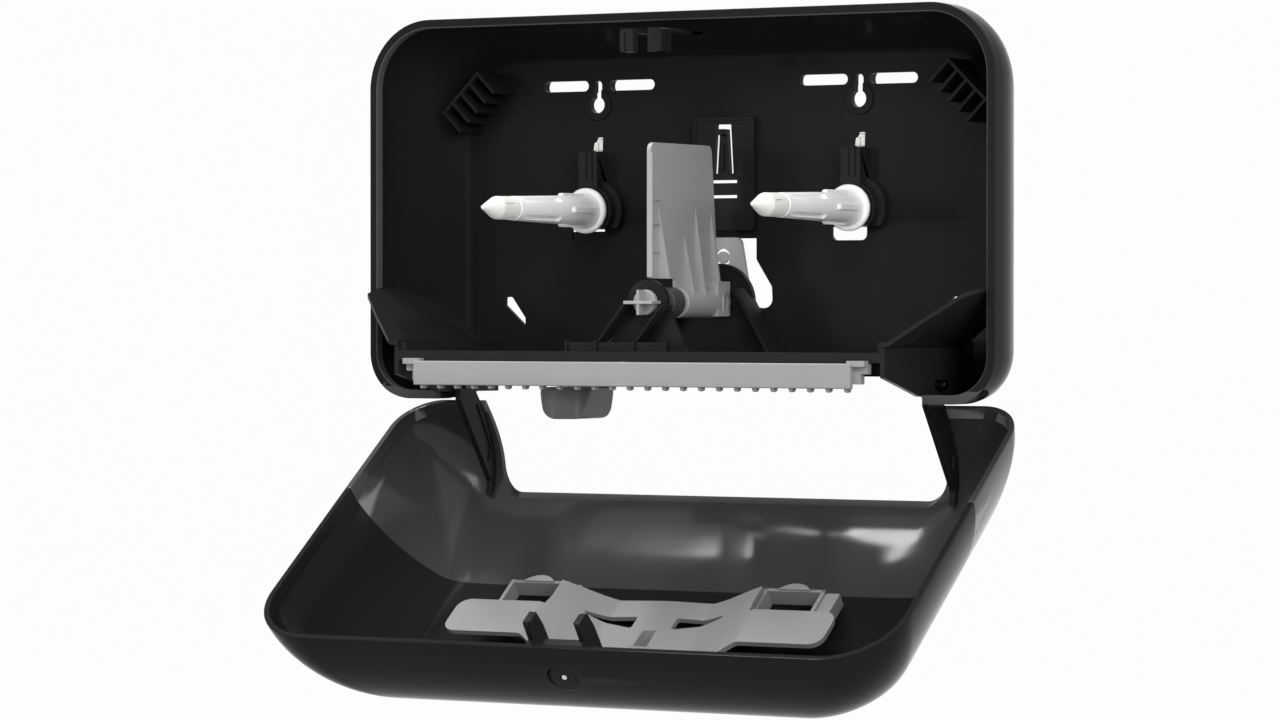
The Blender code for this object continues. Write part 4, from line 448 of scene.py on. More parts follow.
def tinted(colour, factor):
    """A colour made lighter or darker."""
    return tuple(min(channel * factor, 1.0) for channel in colour[:3]) + (1.0,)


def new_material(name, **values):
    """A material with its tree, its shader with some sockets set, and a first wire."""
    made = bpy.data.materials.new(name)
    made.use_nodes = True
    tree = made.node_tree
    shader = tree.nodes["Principled BSDF"]
    for key, value in values.items():
        shader.inputs[key.replace("_", " ")].default_value = value
    return made, tree, shader, Wire(tree)


def moulded(name, colour, roughness, gloss, grain, wear_and_highlight, tint, sheer=0.0, rim=None):
    """Moulded plastic: a fine texture, flow marks and smudges, and raised edges made lighter as far back as
    a rim, partly rubbed and partly a painted highlight.
    """
    made, tree, shader, start = new_material(name, Specular_IOR_Level=gloss)
    where = start.node("ShaderNodeTexCoord", output=OBJECT_PLACE)
    flow = start.node("ShaderNodeMapping", Vector=where, Scale=FLOW_STRETCH)
    marks = start.node("ShaderNodeTexNoise", Vector=flow, Scale=FLOW_SCALE, Detail=4.0, Roughness=0.55)
    smudge = start.node("ShaderNodeTexNoise", Vector=where, Scale=SMUDGE_SCALE, Detail=6.0, Roughness=0.62)
    texture = start.node("ShaderNodeTexNoise", Vector=where, Scale=TEXTURE_SCALE, Detail=2.0, Roughness=0.5)
    scratch_way = start.node("ShaderNodeMapping", Vector=where, Rotation=SCRATCH_TURN,
                             Scale=SCRATCH_STRETCH)
    scratch = start.node("ShaderNodeTexNoise", Vector=scratch_way, Scale=1.0, Detail=1.0).step(0.66, 0.74)
    # Raised edges, found by their pointedness, are made lighter: partly rubbing, partly a painted highlight
    # where lamps would catch them.
    edge = start.node("ShaderNodeNewGeometry", output=POINTEDNESS).step(*RAISED) * wear_and_highlight
    # With a rim given, the painted edge highlight is kept in front of it.
    if rim is not None:
        depth = start.node("ShaderNodeSeparateXYZ", Vector=where, output=DEPTH)
        edge = edge * (1.0 - depth.step(rim, rim + RIM_HIGHLIGHT_FADE))
    tone = marks.blend(tinted(colour, 0.9), tinted(colour, 1.1))
    # The lighter colour of raised edges, partly rubbed and partly painted as a highlight.
    worn_and_highlit = edge.blend(tone, tinted(colour, tint))
    tree.links.new(worn_and_highlit.socket, shader.inputs["Base Color"])
    dull = (smudge - 0.5) * 0.16 + (texture - 0.5) * 0.05 + scratch * 0.07 + roughness + edge * 0.08
    tree.links.new(dull.node("ShaderNodeClamp", n0=dull, n1=0.04, n2=1.0).socket,
                   shader.inputs["Roughness"])
    height = texture * grain + marks * 0.6 - scratch * 0.12
    bump = start.node("ShaderNodeBump", Strength=0.35, Distance=MOULDED_BUMP, Height=height)
    tree.links.new(bump.socket, shader.inputs["Normal"])
    if sheer:
        tree.links.new((1.0 - (smudge * 0.02 + sheer)).socket, shader.inputs["Alpha"])
    return made


def brushed_steel(name, colour):
    """Turned steel with fine rings along the pin and a few dull spots."""
    made, tree, shader, start = new_material(name, Metallic=1.0)
    where = start.node("ShaderNodeTexCoord", output=OBJECT_PLACE)
    rings = start.node("ShaderNodeTexNoise", Vector=start.node("ShaderNodeMapping", Vector=where,
                                                               Scale=RING_STRETCH), Scale=1.0, Detail=2.0)
    spots = start.node("ShaderNodeTexNoise", Vector=where, Scale=260.0, Detail=4.0).step(0.55, 0.75)
    tree.links.new((rings * 0.7 + spots * 0.3).blend(tinted(colour, 1.1), tinted(colour, 0.75)).socket,
                   shader.inputs["Base Color"])
    tree.links.new((rings * 0.18 + spots * 0.2 + 0.2).socket, shader.inputs["Roughness"])
    bump = start.node("ShaderNodeBump", Strength=0.4, Distance=TURNED_BUMP, Height=rings)
    tree.links.new(bump.socket, shader.inputs["Normal"])
    return made


MATERIALS = {}
# Look: the material's name, its colour, roughness, gloss, grain, the strength of the lighter raised edges,
# partly rubbed and partly a painted highlight, and the tint of those edges; the high tints of the gloss
# black and the smoke paint bright highlight lines on their edges
MOULDINGS = {
    "gloss_black": ("gloss_black_moulding", "black", 0.16, 0.035, 0.12, 0.9, 7.0),
    "satin_black": ("satin_black_moulding", "black", 0.26, 0.055, 0.4, 0.6, 1.7),
    "cover_black": ("polished_black_cover", "black", 0.12, 0.03, 0.06, 0.9, 1.8),
    "smoke": ("smoke_window", "smoke", 0.12, 0.2, 0.05, 0.9, 6.0),
    "charcoal": ("charcoal_moulding", "charcoal", 0.32, 0.4, 0.3, 0.5, 1.8),
    "bar_grey": ("tear_bar_grey", "bar_grey", 0.4, 0.45, 0.45, 0.35, 1.35),
    "flap_grey": ("flap_grey", "flap_grey", 0.38, 0.45, 0.4, 0.35, 1.4),
    "guide_grey": ("guide_plate_grey", "guide_grey", 0.4, 0.45, 0.4, 0.4, 1.5),
    "white": ("spindle_white", "white", 0.3, 0.5, 0.2, 0.2, 1.08),
    "cream": ("tip_cream", "cream", 0.35, 0.5, 0.25, 0.2, 1.08),
}
# The gloss black's painted edge highlight is kept to its rim, 62 mm out from the wall; the smoke is made
# slightly see-through.
EXTRAS = {"gloss_black": {"rim": -62.0 * MM}, "smoke": {"sheer": 0.03}}


def finishes(props):
    """Every material of the dispenser, made once from its colours."""
    if not MATERIALS:
        for key, (name, colour, *values) in MOULDINGS.items():
            MATERIALS[key] = moulded(name, getattr(props, colour), *values, **EXTRAS.get(key, {}))
        MATERIALS["steel"] = brushed_steel("key_insert_steel", props.steel)
        MATERIALS["dark_steel"] = brushed_steel("blackened_pin_steel", props.charcoal)
    return MATERIALS


# Sizes and colours that a user may change
class DispenserHousingSizes(bpy.types.PropertyGroup):
    half_width: FloatProperty(name="Half width", description="Half the width of the housing and its cover",
                              default=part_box("base_housing")[1][0], unit="LENGTH")
    bottom: FloatProperty(name="Bottom", description="Height of the housing's bottom", default=-95.0 * MM,
                          unit="LENGTH")
    top: FloatProperty(name="Top", description="Height of the housing's top", default=96.3 * MM,
                       unit="LENGTH")
    depth: FloatProperty(name="Depth", description="Depth of the housing from the wall to its rim",
                         default=66.0 * MM, unit="LENGTH")
    rim: FloatProperty(name="Rim", description="Width of the rim's front face", default=4.4 * MM,
                       unit="LENGTH")
    wall: FloatProperty(name="Wall", description="Thickness of the housing's walls", default=3.0 * MM,
                        unit="LENGTH")
    lower_corner: FloatProperty(name="Lower corner", description="Radius of the lower corners",
                                default=23.0 * MM, unit="LENGTH")
    upper_corner: FloatProperty(name="Upper corner", description="Radius of the upper corners",
                                default=35.0 * MM, unit="LENGTH")
    plate_face: FloatProperty(name="Plate face", description="Place of the back plate's front face",
                              default=-8.0 * MM, unit="LENGTH")
    floor_top: FloatProperty(name="Chute floor", description="Height of the chute's floor",
                             default=-73.0 * MM, unit="LENGTH")
    fence_front: FloatProperty(name="Fence front", description="Place of the chute's front fence",
                               default=-104.0 * MM, unit="LENGTH")
    bar_half_width: FloatProperty(name="Tear bar", description="Half the width of the tear bar",
                                  default=121.0 * MM, unit="LENGTH")
    nubs: IntProperty(name="Nubs", description="Number of nubs under the tear bar", default=25, min=1)


class DispenserRollSizes(bpy.types.PropertyGroup):
    spindle_x: FloatProperty(name="Spindle offset", description="Distance of each spindle from the middle",
                             default=74.5 * MM, unit="LENGTH")
    flange: FloatProperty(name="Flange", description="Radius of the spindle's flange", default=11.5 * MM,
                          unit="LENGTH")
    shaft: FloatProperty(name="Shaft", description="Radius of the shaft at its foot", default=7.7 * MM,
                         unit="LENGTH")
    shaft_end: FloatProperty(name="Shaft end", description="Radius of the shaft at its end",
                             default=6.0 * MM, unit="LENGTH")
    flap_axis: FloatProperty(name="Flap axis", description="Height of the axis that the flap swings on",
                             default=-46.5 * MM, unit="LENGTH")
    flap_top: FloatProperty(name="Flap top", description="Height of the flap's top edge", default=31.4 * MM,
                            unit="LENGTH")


class DispenserCoverSizes(bpy.types.PropertyGroup):
    hinge_depth: FloatProperty(name="Hinge place",
                               description="Place of the hinge axis in front of the wall",
                               default=-47.2 * MM, unit="LENGTH")
    hinge_height: FloatProperty(name="Hinge height", description="Height of the hinge axis",
                                default=-86.0 * MM, unit="LENGTH")
    open_angle: FloatProperty(name="Opening", description="Angle that the cover hangs open at",
                              default=math.radians(126.0), subtype="ANGLE")
    rim: FloatProperty(name="Rim place", description="Place of the cover's rim when shut",
                       default=-66.3 * MM, unit="LENGTH")
    depth: FloatProperty(name="Depth", description="Depth of the cover in front of its rim",
                         default=62.9 * MM, unit="LENGTH")
    wall: FloatProperty(name="Wall", description="Thickness of the cover", default=2.5 * MM, unit="LENGTH")
    seam: FloatProperty(name="Seam", description="Height of the seam between shell and window",
                        default=-20.5 * MM, unit="LENGTH")


class DispenserColours(bpy.types.PropertyGroup):
    black: FloatVectorProperty(name="Black", description="Colour of the black mouldings", subtype="COLOR",
                               default=(0.0122, 0.0122, 0.0123), min=0.0, max=1.0)
    smoke: FloatVectorProperty(name="Smoke", description="Colour of the window in the cover",
                               subtype="COLOR", default=(0.04, 0.04, 0.0402), min=0.0, max=1.0)
    charcoal: FloatVectorProperty(name="Charcoal",
                                  description="Colour of the lever, the cam and the hinge pins",
                                  subtype="COLOR", default=(0.055, 0.055, 0.056), min=0.0, max=1.0)
    bar_grey: FloatVectorProperty(name="Bar grey", description="Colour of the tear bar", subtype="COLOR",
                                  default=(0.26, 0.26, 0.26), min=0.0, max=1.0)
    flap_grey: FloatVectorProperty(name="Flap grey", description="Colour of the flap", subtype="COLOR",
                                   default=(0.3, 0.3, 0.3), min=0.0, max=1.0)
    guide_grey: FloatVectorProperty(name="Guide grey", description="Colour of the guide plate",
                                    subtype="COLOR", default=(0.175, 0.175, 0.175), min=0.0, max=1.0)
    white: FloatVectorProperty(name="White", description="Colour of the spindles", subtype="COLOR",
                               default=(0.9, 0.9, 0.9), min=0.0, max=1.0)
    cream: FloatVectorProperty(name="Cream", description="Colour of the spindle tips", subtype="COLOR",
                               default=(0.84, 0.83, 0.79), min=0.0, max=1.0)
    steel: FloatVectorProperty(name="Steel", description="Colour of the insert in the lock's key slot",
                               subtype="COLOR", default=(0.58, 0.58, 0.6), min=0.0, max=1.0)


class DispenserOperator:
    """What the operators share: the sizes, the colours and an undo step."""

    bl_options = {"REGISTER", "UNDO"}

    @property
    def housing(self):
        return bpy.context.scene.dispenser_housing

    @property
    def rolls(self):
        return bpy.context.scene.dispenser_rolls

    @property
    def cover(self):
        return bpy.context.scene.dispenser_cover

    @property
    def looks(self):
        return finishes(bpy.context.scene.dispenser_colours)

    def stand_in(self, piece, node, body, slot, look, ending="moulding", smooth=SMOOTH_ANGLE):
        """Finishes a piece that takes the place of one solid and is named after it."""
        return finish(piece, f"{node}_{ending}", body, slot, self.looks[look], node, smooth=smooth)


# Housing
TAPER_START = 52.0 * MM
SIDE_TAPER = 30.0 * MM
TOP_TAPER = 24.0 * MM
BOTTOM_TAPER = 10.0 * MM
TAPER_POWER = 1.4
PLATE_BACK = -5.4 * MM
HINGE_SWEEP = 19.0 * MM


def housing_ring(sizes, y, inset):
    """The outline of the housing at a place y, drawn in by an inset."""
    reach = min(max(0.0, (y + TAPER_START) / TAPER_START), 1.0)
    draw = 1 - (1 - reach ** TAPER_POWER) ** (1 / TAPER_POWER)
    return upright_frame(sizes.half_width - inset - SIDE_TAPER * draw,
                         sizes.bottom + BOTTOM_TAPER * draw + inset, sizes.top - TOP_TAPER * draw - inset,
                         sizes.lower_corner - inset, sizes.upper_corner - inset, y)


def long_slot(near, far, z, height, side):
    """A slot with two round ends, on one side of the middle."""
    reach = height / 2
    points = []
    for x, first in ((far - reach, -90), (near + reach, 90)):
        for step in range(13):
            turn = math.radians(first + 180 * step / 12)
            points.append((side * (x + reach * math.cos(turn)), z + reach * math.sin(turn)))
    return points


def keyhole_outline(x, z, radius, neck, top):
    """A round hole with a narrow neck that runs up to a round end."""
    points = []
    first = math.acos(neck / radius)
    for step in range(33):
        turn = math.pi - first + (math.pi + 2 * first) * step / 32
        points.append((x + radius * math.cos(turn), z + radius * math.sin(turn)))
    for step in range(9):
        turn = math.pi * step / 8
        points.append((x + neck * math.cos(turn), top - neck + neck * math.sin(turn)))
    return points


FOOT_HALF_WIDTH = 136.4 * MM
FOOT_BACK_HALF_WIDTH = 133.0 * MM
FOOT_TOP = 12.0 * MM
FIN_WIDTH = 1.6 * MM
FIN_FRONT = -30.0
FIN_RUN = 14.0 * MM
FIN_COUNT = 5
SLOT_LEVEL = 63.8 * MM
KEYHOLE_X = 74.3 * MM
KEYHOLE_LEVEL = 54.0 * MM
PLATE_AHEAD = -12.0 * MM
PAD_FRONT = -6.4 * MM
PAD_AHEAD = -8.0 * MM
SWEEP_STEPS = 16
SLANTED_OPENING = ((129.8, -43.6, 0.9), (125.6, -43.6, 0.9), (117.8, -54.3, 0.6), (117.8, -58.5, 0.6),
                   (129.8, -47.8, 0.9))
ARCH_OPENING = ((8.0, -31.5, 3), (13.4, -38.5, 3), (15.2, -49.2, 4.6), (25.9, -49.2, 4.6), (25.3, -38.5, 3),
                (16.6, -25.0, 3), (16.6, -14.4, 0))


class DISPENSER_OT_base_housing(DispenserOperator, bpy.types.Operator):
    """Builds the tray that hangs on the wall, with its screw slots, corner fins and pads"""

    bl_idname = "dispenser.base_housing"
    bl_label = "Base Housing"

    def tray(self, sizes):
        """The skin from the plate's back over walls and rim to the plate's face."""
        depth = sizes.depth
        stations = [-depth * share for share in (0.02, 0.05, 0.09, 0.14, 0.2, 0.27, 0.35, 0.44, 0.54, 0.65,
                                                 0.79, 0.9)]
        rows = [housing_ring(sizes, PLATE_BACK, sizes.wall), housing_ring(sizes, 0.0, sizes.wall)]
        rows += [housing_ring(sizes, 0.0, 0.5 * MM), housing_ring(sizes, -0.5 * MM, 0.0)]
        rows += [housing_ring(sizes, y, 0.0) for y in stations]
        for back, inset in ((0.8, 0.0), (0.3, 0.12), (0.06, 0.35), (0.0, 0.7), (0.0, 3.8), (0.08, 4.15),
                            (0.35, 4.4), (5.0, 4.4), (5.4, 4.2), (6.0, 3.0)):
            rows.append(housing_ring(sizes, back * MM - depth, inset * MM))
        rows += [housing_ring(sizes, y, sizes.wall) for y in reversed(stations)
                 if sizes.plate_face - 1.6 * MM > y > 6.5 * MM - depth]
        for ahead, extra in ((1.5, 0.0), (0.7, 0.2), (0.2, 0.7), (0.0, 1.5)):
            rows.append(housing_ring(sizes, sizes.plate_face - ahead * MM, sizes.wall + extra * MM))
        return skin(rows)

    def fins(self, side):
        """The slanted fin in an upper corner, with the row of fins beside it."""
        low = Vector((153.0, 50.0)) * MM
        high = Vector((132.0, 70.5)) * MM
        along = (high - low).normalized()
        inward = Vector((-along.y, along.x))

        def plate(corner, run, way, width, front):
            ends = [corner, corner + run, corner + run + way * width, corner + way * width]
            return slab("Y", [(side * p.x, p.y) for p in ends], front * MM, self.housing.plate_face + OVER)

        shapes = [plate(low, high - low, -inward, FIN_WIDTH, FIN_FRONT)]
        for i in range(FIN_COUNT):
            foot = low.lerp(high - along * FIN_WIDTH, i / (FIN_COUNT - 1)) - inward * 0.8 * MM
            shapes.append(plate(foot, inward * FIN_RUN, along, FIN_WIDTH, FIN_FRONT))
        return shapes

    def pads(self, side):
        """The pad around the screw slots, the keyhole's boss, the low round pad and the fins."""
        near, far = span(side, 38.45, 109.3)
        keyhole_x = side * KEYHOLE_X
        pad = block(near, far, PAD_FRONT, 0.0, 54.8 * MM, 72.8 * MM, 0.4 * MM)
        cut_each(pad, rod("Y", keyhole_x, KEYHOLE_LEVEL, 8.2 * MM, PAD_AHEAD, OVER),
                 block(keyhole_x - 4.5 * MM, keyhole_x + 4.5 * MM, PAD_AHEAD, OVER, KEYHOLE_LEVEL,
                       67.8 * MM), slab("Y", long_slot(38.95 * MM, 69.0 * MM, SLOT_LEVEL, 8.9 * MM, side),
                                        PAD_AHEAD, OVER), slab("Y", long_slot(79.2 * MM, 107.8 * MM,
                                                                              SLOT_LEVEL, 8.9 * MM, side),
                                                               PAD_AHEAD, OVER))
        boss = turned("Y", keyhole_x, KEYHOLE_LEVEL, mm_rows((-5.0, 8.0), (-8.7, 8.0), (-9.0, 7.7)))
        low_pad = rod("Y", side * 100.0 * MM, -66.0 * MM, 7.0 * MM, PAD_FRONT, 0.0)
        return [pad, boss, low_pad] + self.fins(side)

    def openings(self, side):
        """The plate's openings on one side, and the thin strip that frees the upper edge of one."""
        front, back = PLATE_AHEAD, OVER
        outlines = [long_slot(near * MM, far * MM, SLOT_LEVEL, 5.3 * MM, side)
                    for near, far in ((41.45, 67.85), (79.9, 106.3))]
        outlines.append(keyhole_outline(side * KEYHOLE_X, KEYHOLE_LEVEL, 4.2 * MM, 2.2 * MM, 66.3 * MM))
        holes = [slab("Y", outline, front, back) for outline in outlines]
        x = side * self.rolls.spindle_x - 6.0 * MM
        low, high = x - 9.75 * MM, x + 9.75 * MM
        socket = rounded([(low, -9.2 * MM, 0), (low, -15.7 * MM, 3.0 * MM),
                          (high, -15.7 * MM, 3.0 * MM), (high, -9.2 * MM, 0)])
        holes.append(slab("Y", socket, front, -6.6 * MM if side < 0 else back))
        strip = block(low, high, front, back, -10.3 * MM, -9.25 * MM)
        x = side * self.rolls.spindle_x
        latch_hole = rounded([(x - 3.0 * MM, 30.5 * MM, 0.5 * MM), (x + 3.0 * MM, 30.5 * MM, 0.5 * MM),
                              (x + 3.0 * MM, 37.5 * MM, 0.5 * MM), (x - 1.2 * MM, 37.5 * MM, 1.0 * MM),
                              (x - 2.6 * MM, 34.0 * MM, 1.5 * MM)], 4)
        slanted = rounded([(side * a * MM, b * MM, r * MM) for a, b, r in SLANTED_OPENING], 4)
        holes += [slab("Y", outline, front, back) for outline in (latch_hole, slanted)]
        return holes, strip

    def foot(self):
        """What the foot lacks: a shallow step, the chute's room and the sweep of the hinge's eyes."""
        sizes, cover = self.housing, self.cover
        step = slab("Y", box_outline(-148.0 * MM, 148.0 * MM, sizes.floor_top - 4.0 * MM, -5.0 * MM,
                                     1.0 * MM), PLATE_AHEAD, sizes.plate_face + 0.45 * MM)
        sweep = math.asin((cover.hinge_height - sizes.bottom + OVER) / HINGE_SWEEP)
        ahead, under = -sizes.depth - 2 * OVER, sizes.bottom - OVER
        relief = [(ahead, cover.hinge_height)]
        for i in range(SWEEP_STEPS + 1):
            turn = sweep * i / SWEEP_STEPS
            relief.append((cover.hinge_depth - HINGE_SWEEP * math.cos(turn),
                           cover.hinge_height - HINGE_SWEEP * math.sin(turn)))
        relief.append((ahead, under))
        return (step, block(-FOOT_HALF_WIDTH, FOOT_HALF_WIDTH, ahead, -30.0 * MM, under, sizes.floor_top),
                block(-FOOT_HALF_WIDTH, FOOT_HALF_WIDTH, -31.0 * MM, sizes.plate_face, under,
                      sizes.bottom + FOOT_TOP),
                block(-FOOT_BACK_HALF_WIDTH, FOOT_BACK_HALF_WIDTH, sizes.plate_face - OVER, OVER, under,
                      sizes.bottom + FOOT_TOP),
                slab("X", relief, -sizes.half_width - OVER, sizes.half_width + OVER))

    def execute(self, context):
        tray = self.tray(self.housing)
        solids = self.pads(-1) + self.pads(1)
        solids.append(block(*mm(-17.3, 17.3, -6.4, 0.0, -9.0, 4.0, 0.4)))
        weld(tray, *solids)
        left_holes, left_strip = self.openings(-1)
        right_holes, right_strip = self.openings(1)
        centre = slab("Y", box_outline(-9.0 * MM, 9.0 * MM, 5.2 * MM, 44.0 * MM, 0.5 * MM), PLATE_AHEAD,
                      OVER)
        right = mm_rows(*ARCH_OPENING)
        left = [(-x, z, r) for x, z, r in reversed(right)]
        arch_hole = slab("Y", rounded(right + left, 6), PLATE_AHEAD, OVER)
        cut(tray, *left_holes, *right_holes, centre, arch_hole)
        cut_each(tray, left_strip, right_strip)
        cut_each(tray, *self.foot())
        soften(tray, 0.28 * MM)
        self.stand_in(tray, "base_housing", "housing", "black_plastic", "gloss_black")
        return {"FINISHED"}


class DISPENSER_OT_centre_panel(DispenserOperator, bpy.types.Operator):
    """Builds the raised insert in the middle of the back plate, with its sprung tongue"""

    bl_idname = "dispenser.centre_panel"
    bl_label = "Centre Panel"

    def execute(self, context):
        back = self.housing.plate_face - GAP
        panel = slab("Y", box_outline(-17.3 * MM, 17.3 * MM, -10.3 * MM, 46.3 * MM, 1.2 * MM), -12.0 * MM,
                     back)
        half = [(3.4, 18.0), (5.6, 18.0), (4.2, 42.6)]
        tongue = mirrored([(a * MM, b * MM) for a, b in half]) + mm_rows((-2.0, 40.2), (2.0, 40.2))
        cuts = [slab("Y", tongue, -13.0 * MM, self.housing.plate_face)]
        for level in (14.0, 6.5):
            cuts.append(block(-7.6 * MM, 7.6 * MM, -13.0 * MM, self.housing.plate_face, (level - 0.75) * MM,
                              (level + 0.75) * MM))
        cut(panel, *cuts)
        border = slab("Y", box_outline(-15.6 * MM, 15.6 * MM, -8.6 * MM, 44.6 * MM, 1.0 * MM), -14.0 * MM,
                      -11.4 * MM)
        hook = slab("X", mm_rows((-14.4, 37.6), (-10.5, 36.6), (-10.5, 40.2), (-14.4, 40.2)),
                    -2.0 * MM, 2.0 * MM)
        rib = slab("X", mm_rows((-12.8, 20.0), (-10.5, 18.5), (-10.5, 33.0), (-12.8, 33.0)),
                   -0.5 * MM, 0.5 * MM)
        cut_each(panel, border)
        weld(panel, hook, rib)
        soften(panel, 0.22 * MM)
        self.stand_in(panel, "centre_panel", "housing", "black_plastic", "satin_black")
        return {"FINISHED"}


class DISPENSER_OT_hub_rings(DispenserOperator, bpy.types.Operator):
    """Builds the two bearings that the spindles turn in, each with its upright tab"""

    bl_idname = "dispenser.hub_rings"
    bl_label = "Hub Rings"

    def execute(self, context):
        back = self.housing.plate_face - GAP
        for word, side in (("left", -1), ("right", 1)):
            x = side * self.rolls.spindle_x
            ring = turned("Y", x, 0.0, [(back, 16.0 * MM), (-12.2 * MM, 16.0 * MM), (-12.5 * MM, 15.7 * MM),
                                        (-12.5 * MM, 12.8 * MM), (-17.2 * MM, 12.8 * MM),
                                        (-17.5 * MM, 12.5 * MM)], 72)
            tab = slab("Y", box_outline(x - 5.4 * MM, x + 5.4 * MM, 7.4 * MM, 30.0 * MM, 0.6 * MM, 4),
                       -18.5 * MM, back)
            weld(ring, tab)
            face = turned("Y", x, 0.0, mm_rows((-20.0, 11.6), (-16.4, 11.6)), 72)
            bore = rod("Y", x, 0.0, 5.4 * MM, -20.0 * MM, PLATE_BACK)
            below = block(x - 17.0 * MM, x + 17.0 * MM, -20.0 * MM, PLATE_BACK, -17.0 * MM, -8.7 * MM)
            cut_each(ring, face, bore, below)
            slots = [block(x + a * MM, x + b * MM, -20.0 * MM, -17.7 * MM, 15.5 * MM, 31.0 * MM) for a,
                     b in ((-1.2, 0.6), (2.2, 3.4))]
            cut_each(ring, *slots)
            soften(ring, 0.25 * MM)
            self.stand_in(ring, f"hub_ring_{word}", "housing", "black_plastic", "satin_black", smooth=20.0)
        return {"FINISHED"}


def around(piece, x, degrees):
    """Turns a piece, drawn about the middle, around the axis of one spindle."""
    piece.data.transform(Matrix.Translation((x, 0, 0)) @ Matrix.Rotation(math.radians(degrees), 4, "Y"))
    return piece


class DISPENSER_OT_spindles(DispenserOperator, bpy.types.Operator):
    """Builds the two white roll spindles, their cream tips and the latches above them"""

    bl_idname = "dispenser.spindles"
    bl_label = "Roll Spindles"

    def shaft(self, x):
        """A spindle's shaft and flange, with its crossed ribs."""
        rolls = self.rolls
        start, foot = -18.9 * MM, -21.5 * MM
        shape = turned("Y", x, 0.0, [(self.housing.plate_face - GAP, 5.0 * MM), (start, 5.0 * MM),
                                     (start, rolls.flange - 0.5 * MM), (start - 0.5 * MM, rolls.flange),
                                     (foot + 0.6 * MM, rolls.flange), (foot, rolls.flange - 0.6 * MM),
                                     (foot - 0.2 * MM, 9.3 * MM), (foot - 2.0 * MM, 8.5 * MM),
                                     (foot - 6.0 * MM, rolls.shaft), (-92.6 * MM, rolls.shaft_end),
                                     (-93.0 * MM, rolls.shaft_end - 0.4 * MM)], 64)
        ribs = []
        for axis_turn in range(2):
            reach = 8.5 * MM
            outline = [(foot + OVER, -reach), (-44.6 * MM, -reach), (-46.0 * MM, -reach + 0.9 * MM),
                       (-46.0 * MM, reach - 0.9 * MM), (-44.6 * MM, reach), (foot + OVER, reach)]
            if axis_turn:
                ribs.append(slab("X", outline, x - 1.3 * MM, x + 1.3 * MM))
            else:
                ribs.append(slab("Z", [(x + b, a) for a, b in outline], -1.3 * MM, 1.3 * MM))
        return weld(shape, *ribs)

    def execute(self, context):
        looks = self.looks
        for word, side in (("left", -1), ("right", 1)):
            x = side * self.rolls.spindle_x
            shaft = self.shaft(x)
            pockets = []
            for turn in (45, 135, 225, 315):
                pocket = block(*mm(5.6, 9.0, -88.0, -54.0, -1.6, 1.6, 0.5))
                pockets.append(around(pocket, x, turn))
            cut_each(shaft, *pockets)
            soften(shaft, 0.3 * MM, 3, 38.0)
            self.stand_in(shaft, f"spindle_{word}", f"{word}_spindle", "white_plastic", "white")
            start = -93.0 * MM - GAP
            tip = turned("Y", x, 0.0, [(start, 5.4 * MM), (start - 0.4 * MM, 5.85 * MM),
                                       (-107.6 * MM, 5.7 * MM), (-108.6 * MM, 5.4 * MM),
                                       (-119.6 * MM, 1.3 * MM), (-120.8 * MM, 0.8 * MM),
                                       (-121.1 * MM, 0.4 * MM)], 48)
            slots = []
            for turn in (-20, 70, 160, 250):
                slot = slab("Z", mm_rows((4.6, -97.0), (6.5, -97.0), (6.5, -107.0), (4.6, -107.0)),
                            -0.5 * MM, 0.5 * MM)
                slots.append(around(slot, x, turn))
            cut_each(tip, *slots)
            soften(tip, 0.12 * MM, 2, 45.0)
            self.stand_in(tip, f"spindle_tip_{word}", f"{word}_spindle", "cream_plastic", "cream")
            front = rounded([(x - 2.7 * MM, 30.8 * MM, 0), (x + 2.7 * MM, 30.8 * MM, 0),
                             (x + 2.7 * MM, 37.1 * MM, 0.4 * MM), (x - 1.0 * MM, 37.1 * MM, 0.6 * MM),
                             (x - 2.3 * MM, 34.0 * MM, 1.0 * MM)], 4)
            latch = slab("Y", front, -8.0 * MM, -1.0 * MM)
            cut_each(latch, block(x - 3.5 * MM, x + 3.5 * MM, -9.0 * MM, -6.4 * MM, 35.0 * MM, 38.0 * MM),
                     block(x - 0.2 * MM, x + 0.6 * MM, -9.0 * MM, -6.6 * MM, 30.0 * MM, 36.0 * MM))
            soften(latch, 0.25 * MM)
            self.stand_in(latch, f"spindle_latch_{word}", "housing", "cream_plastic", "cream")
        return {"FINISHED"}


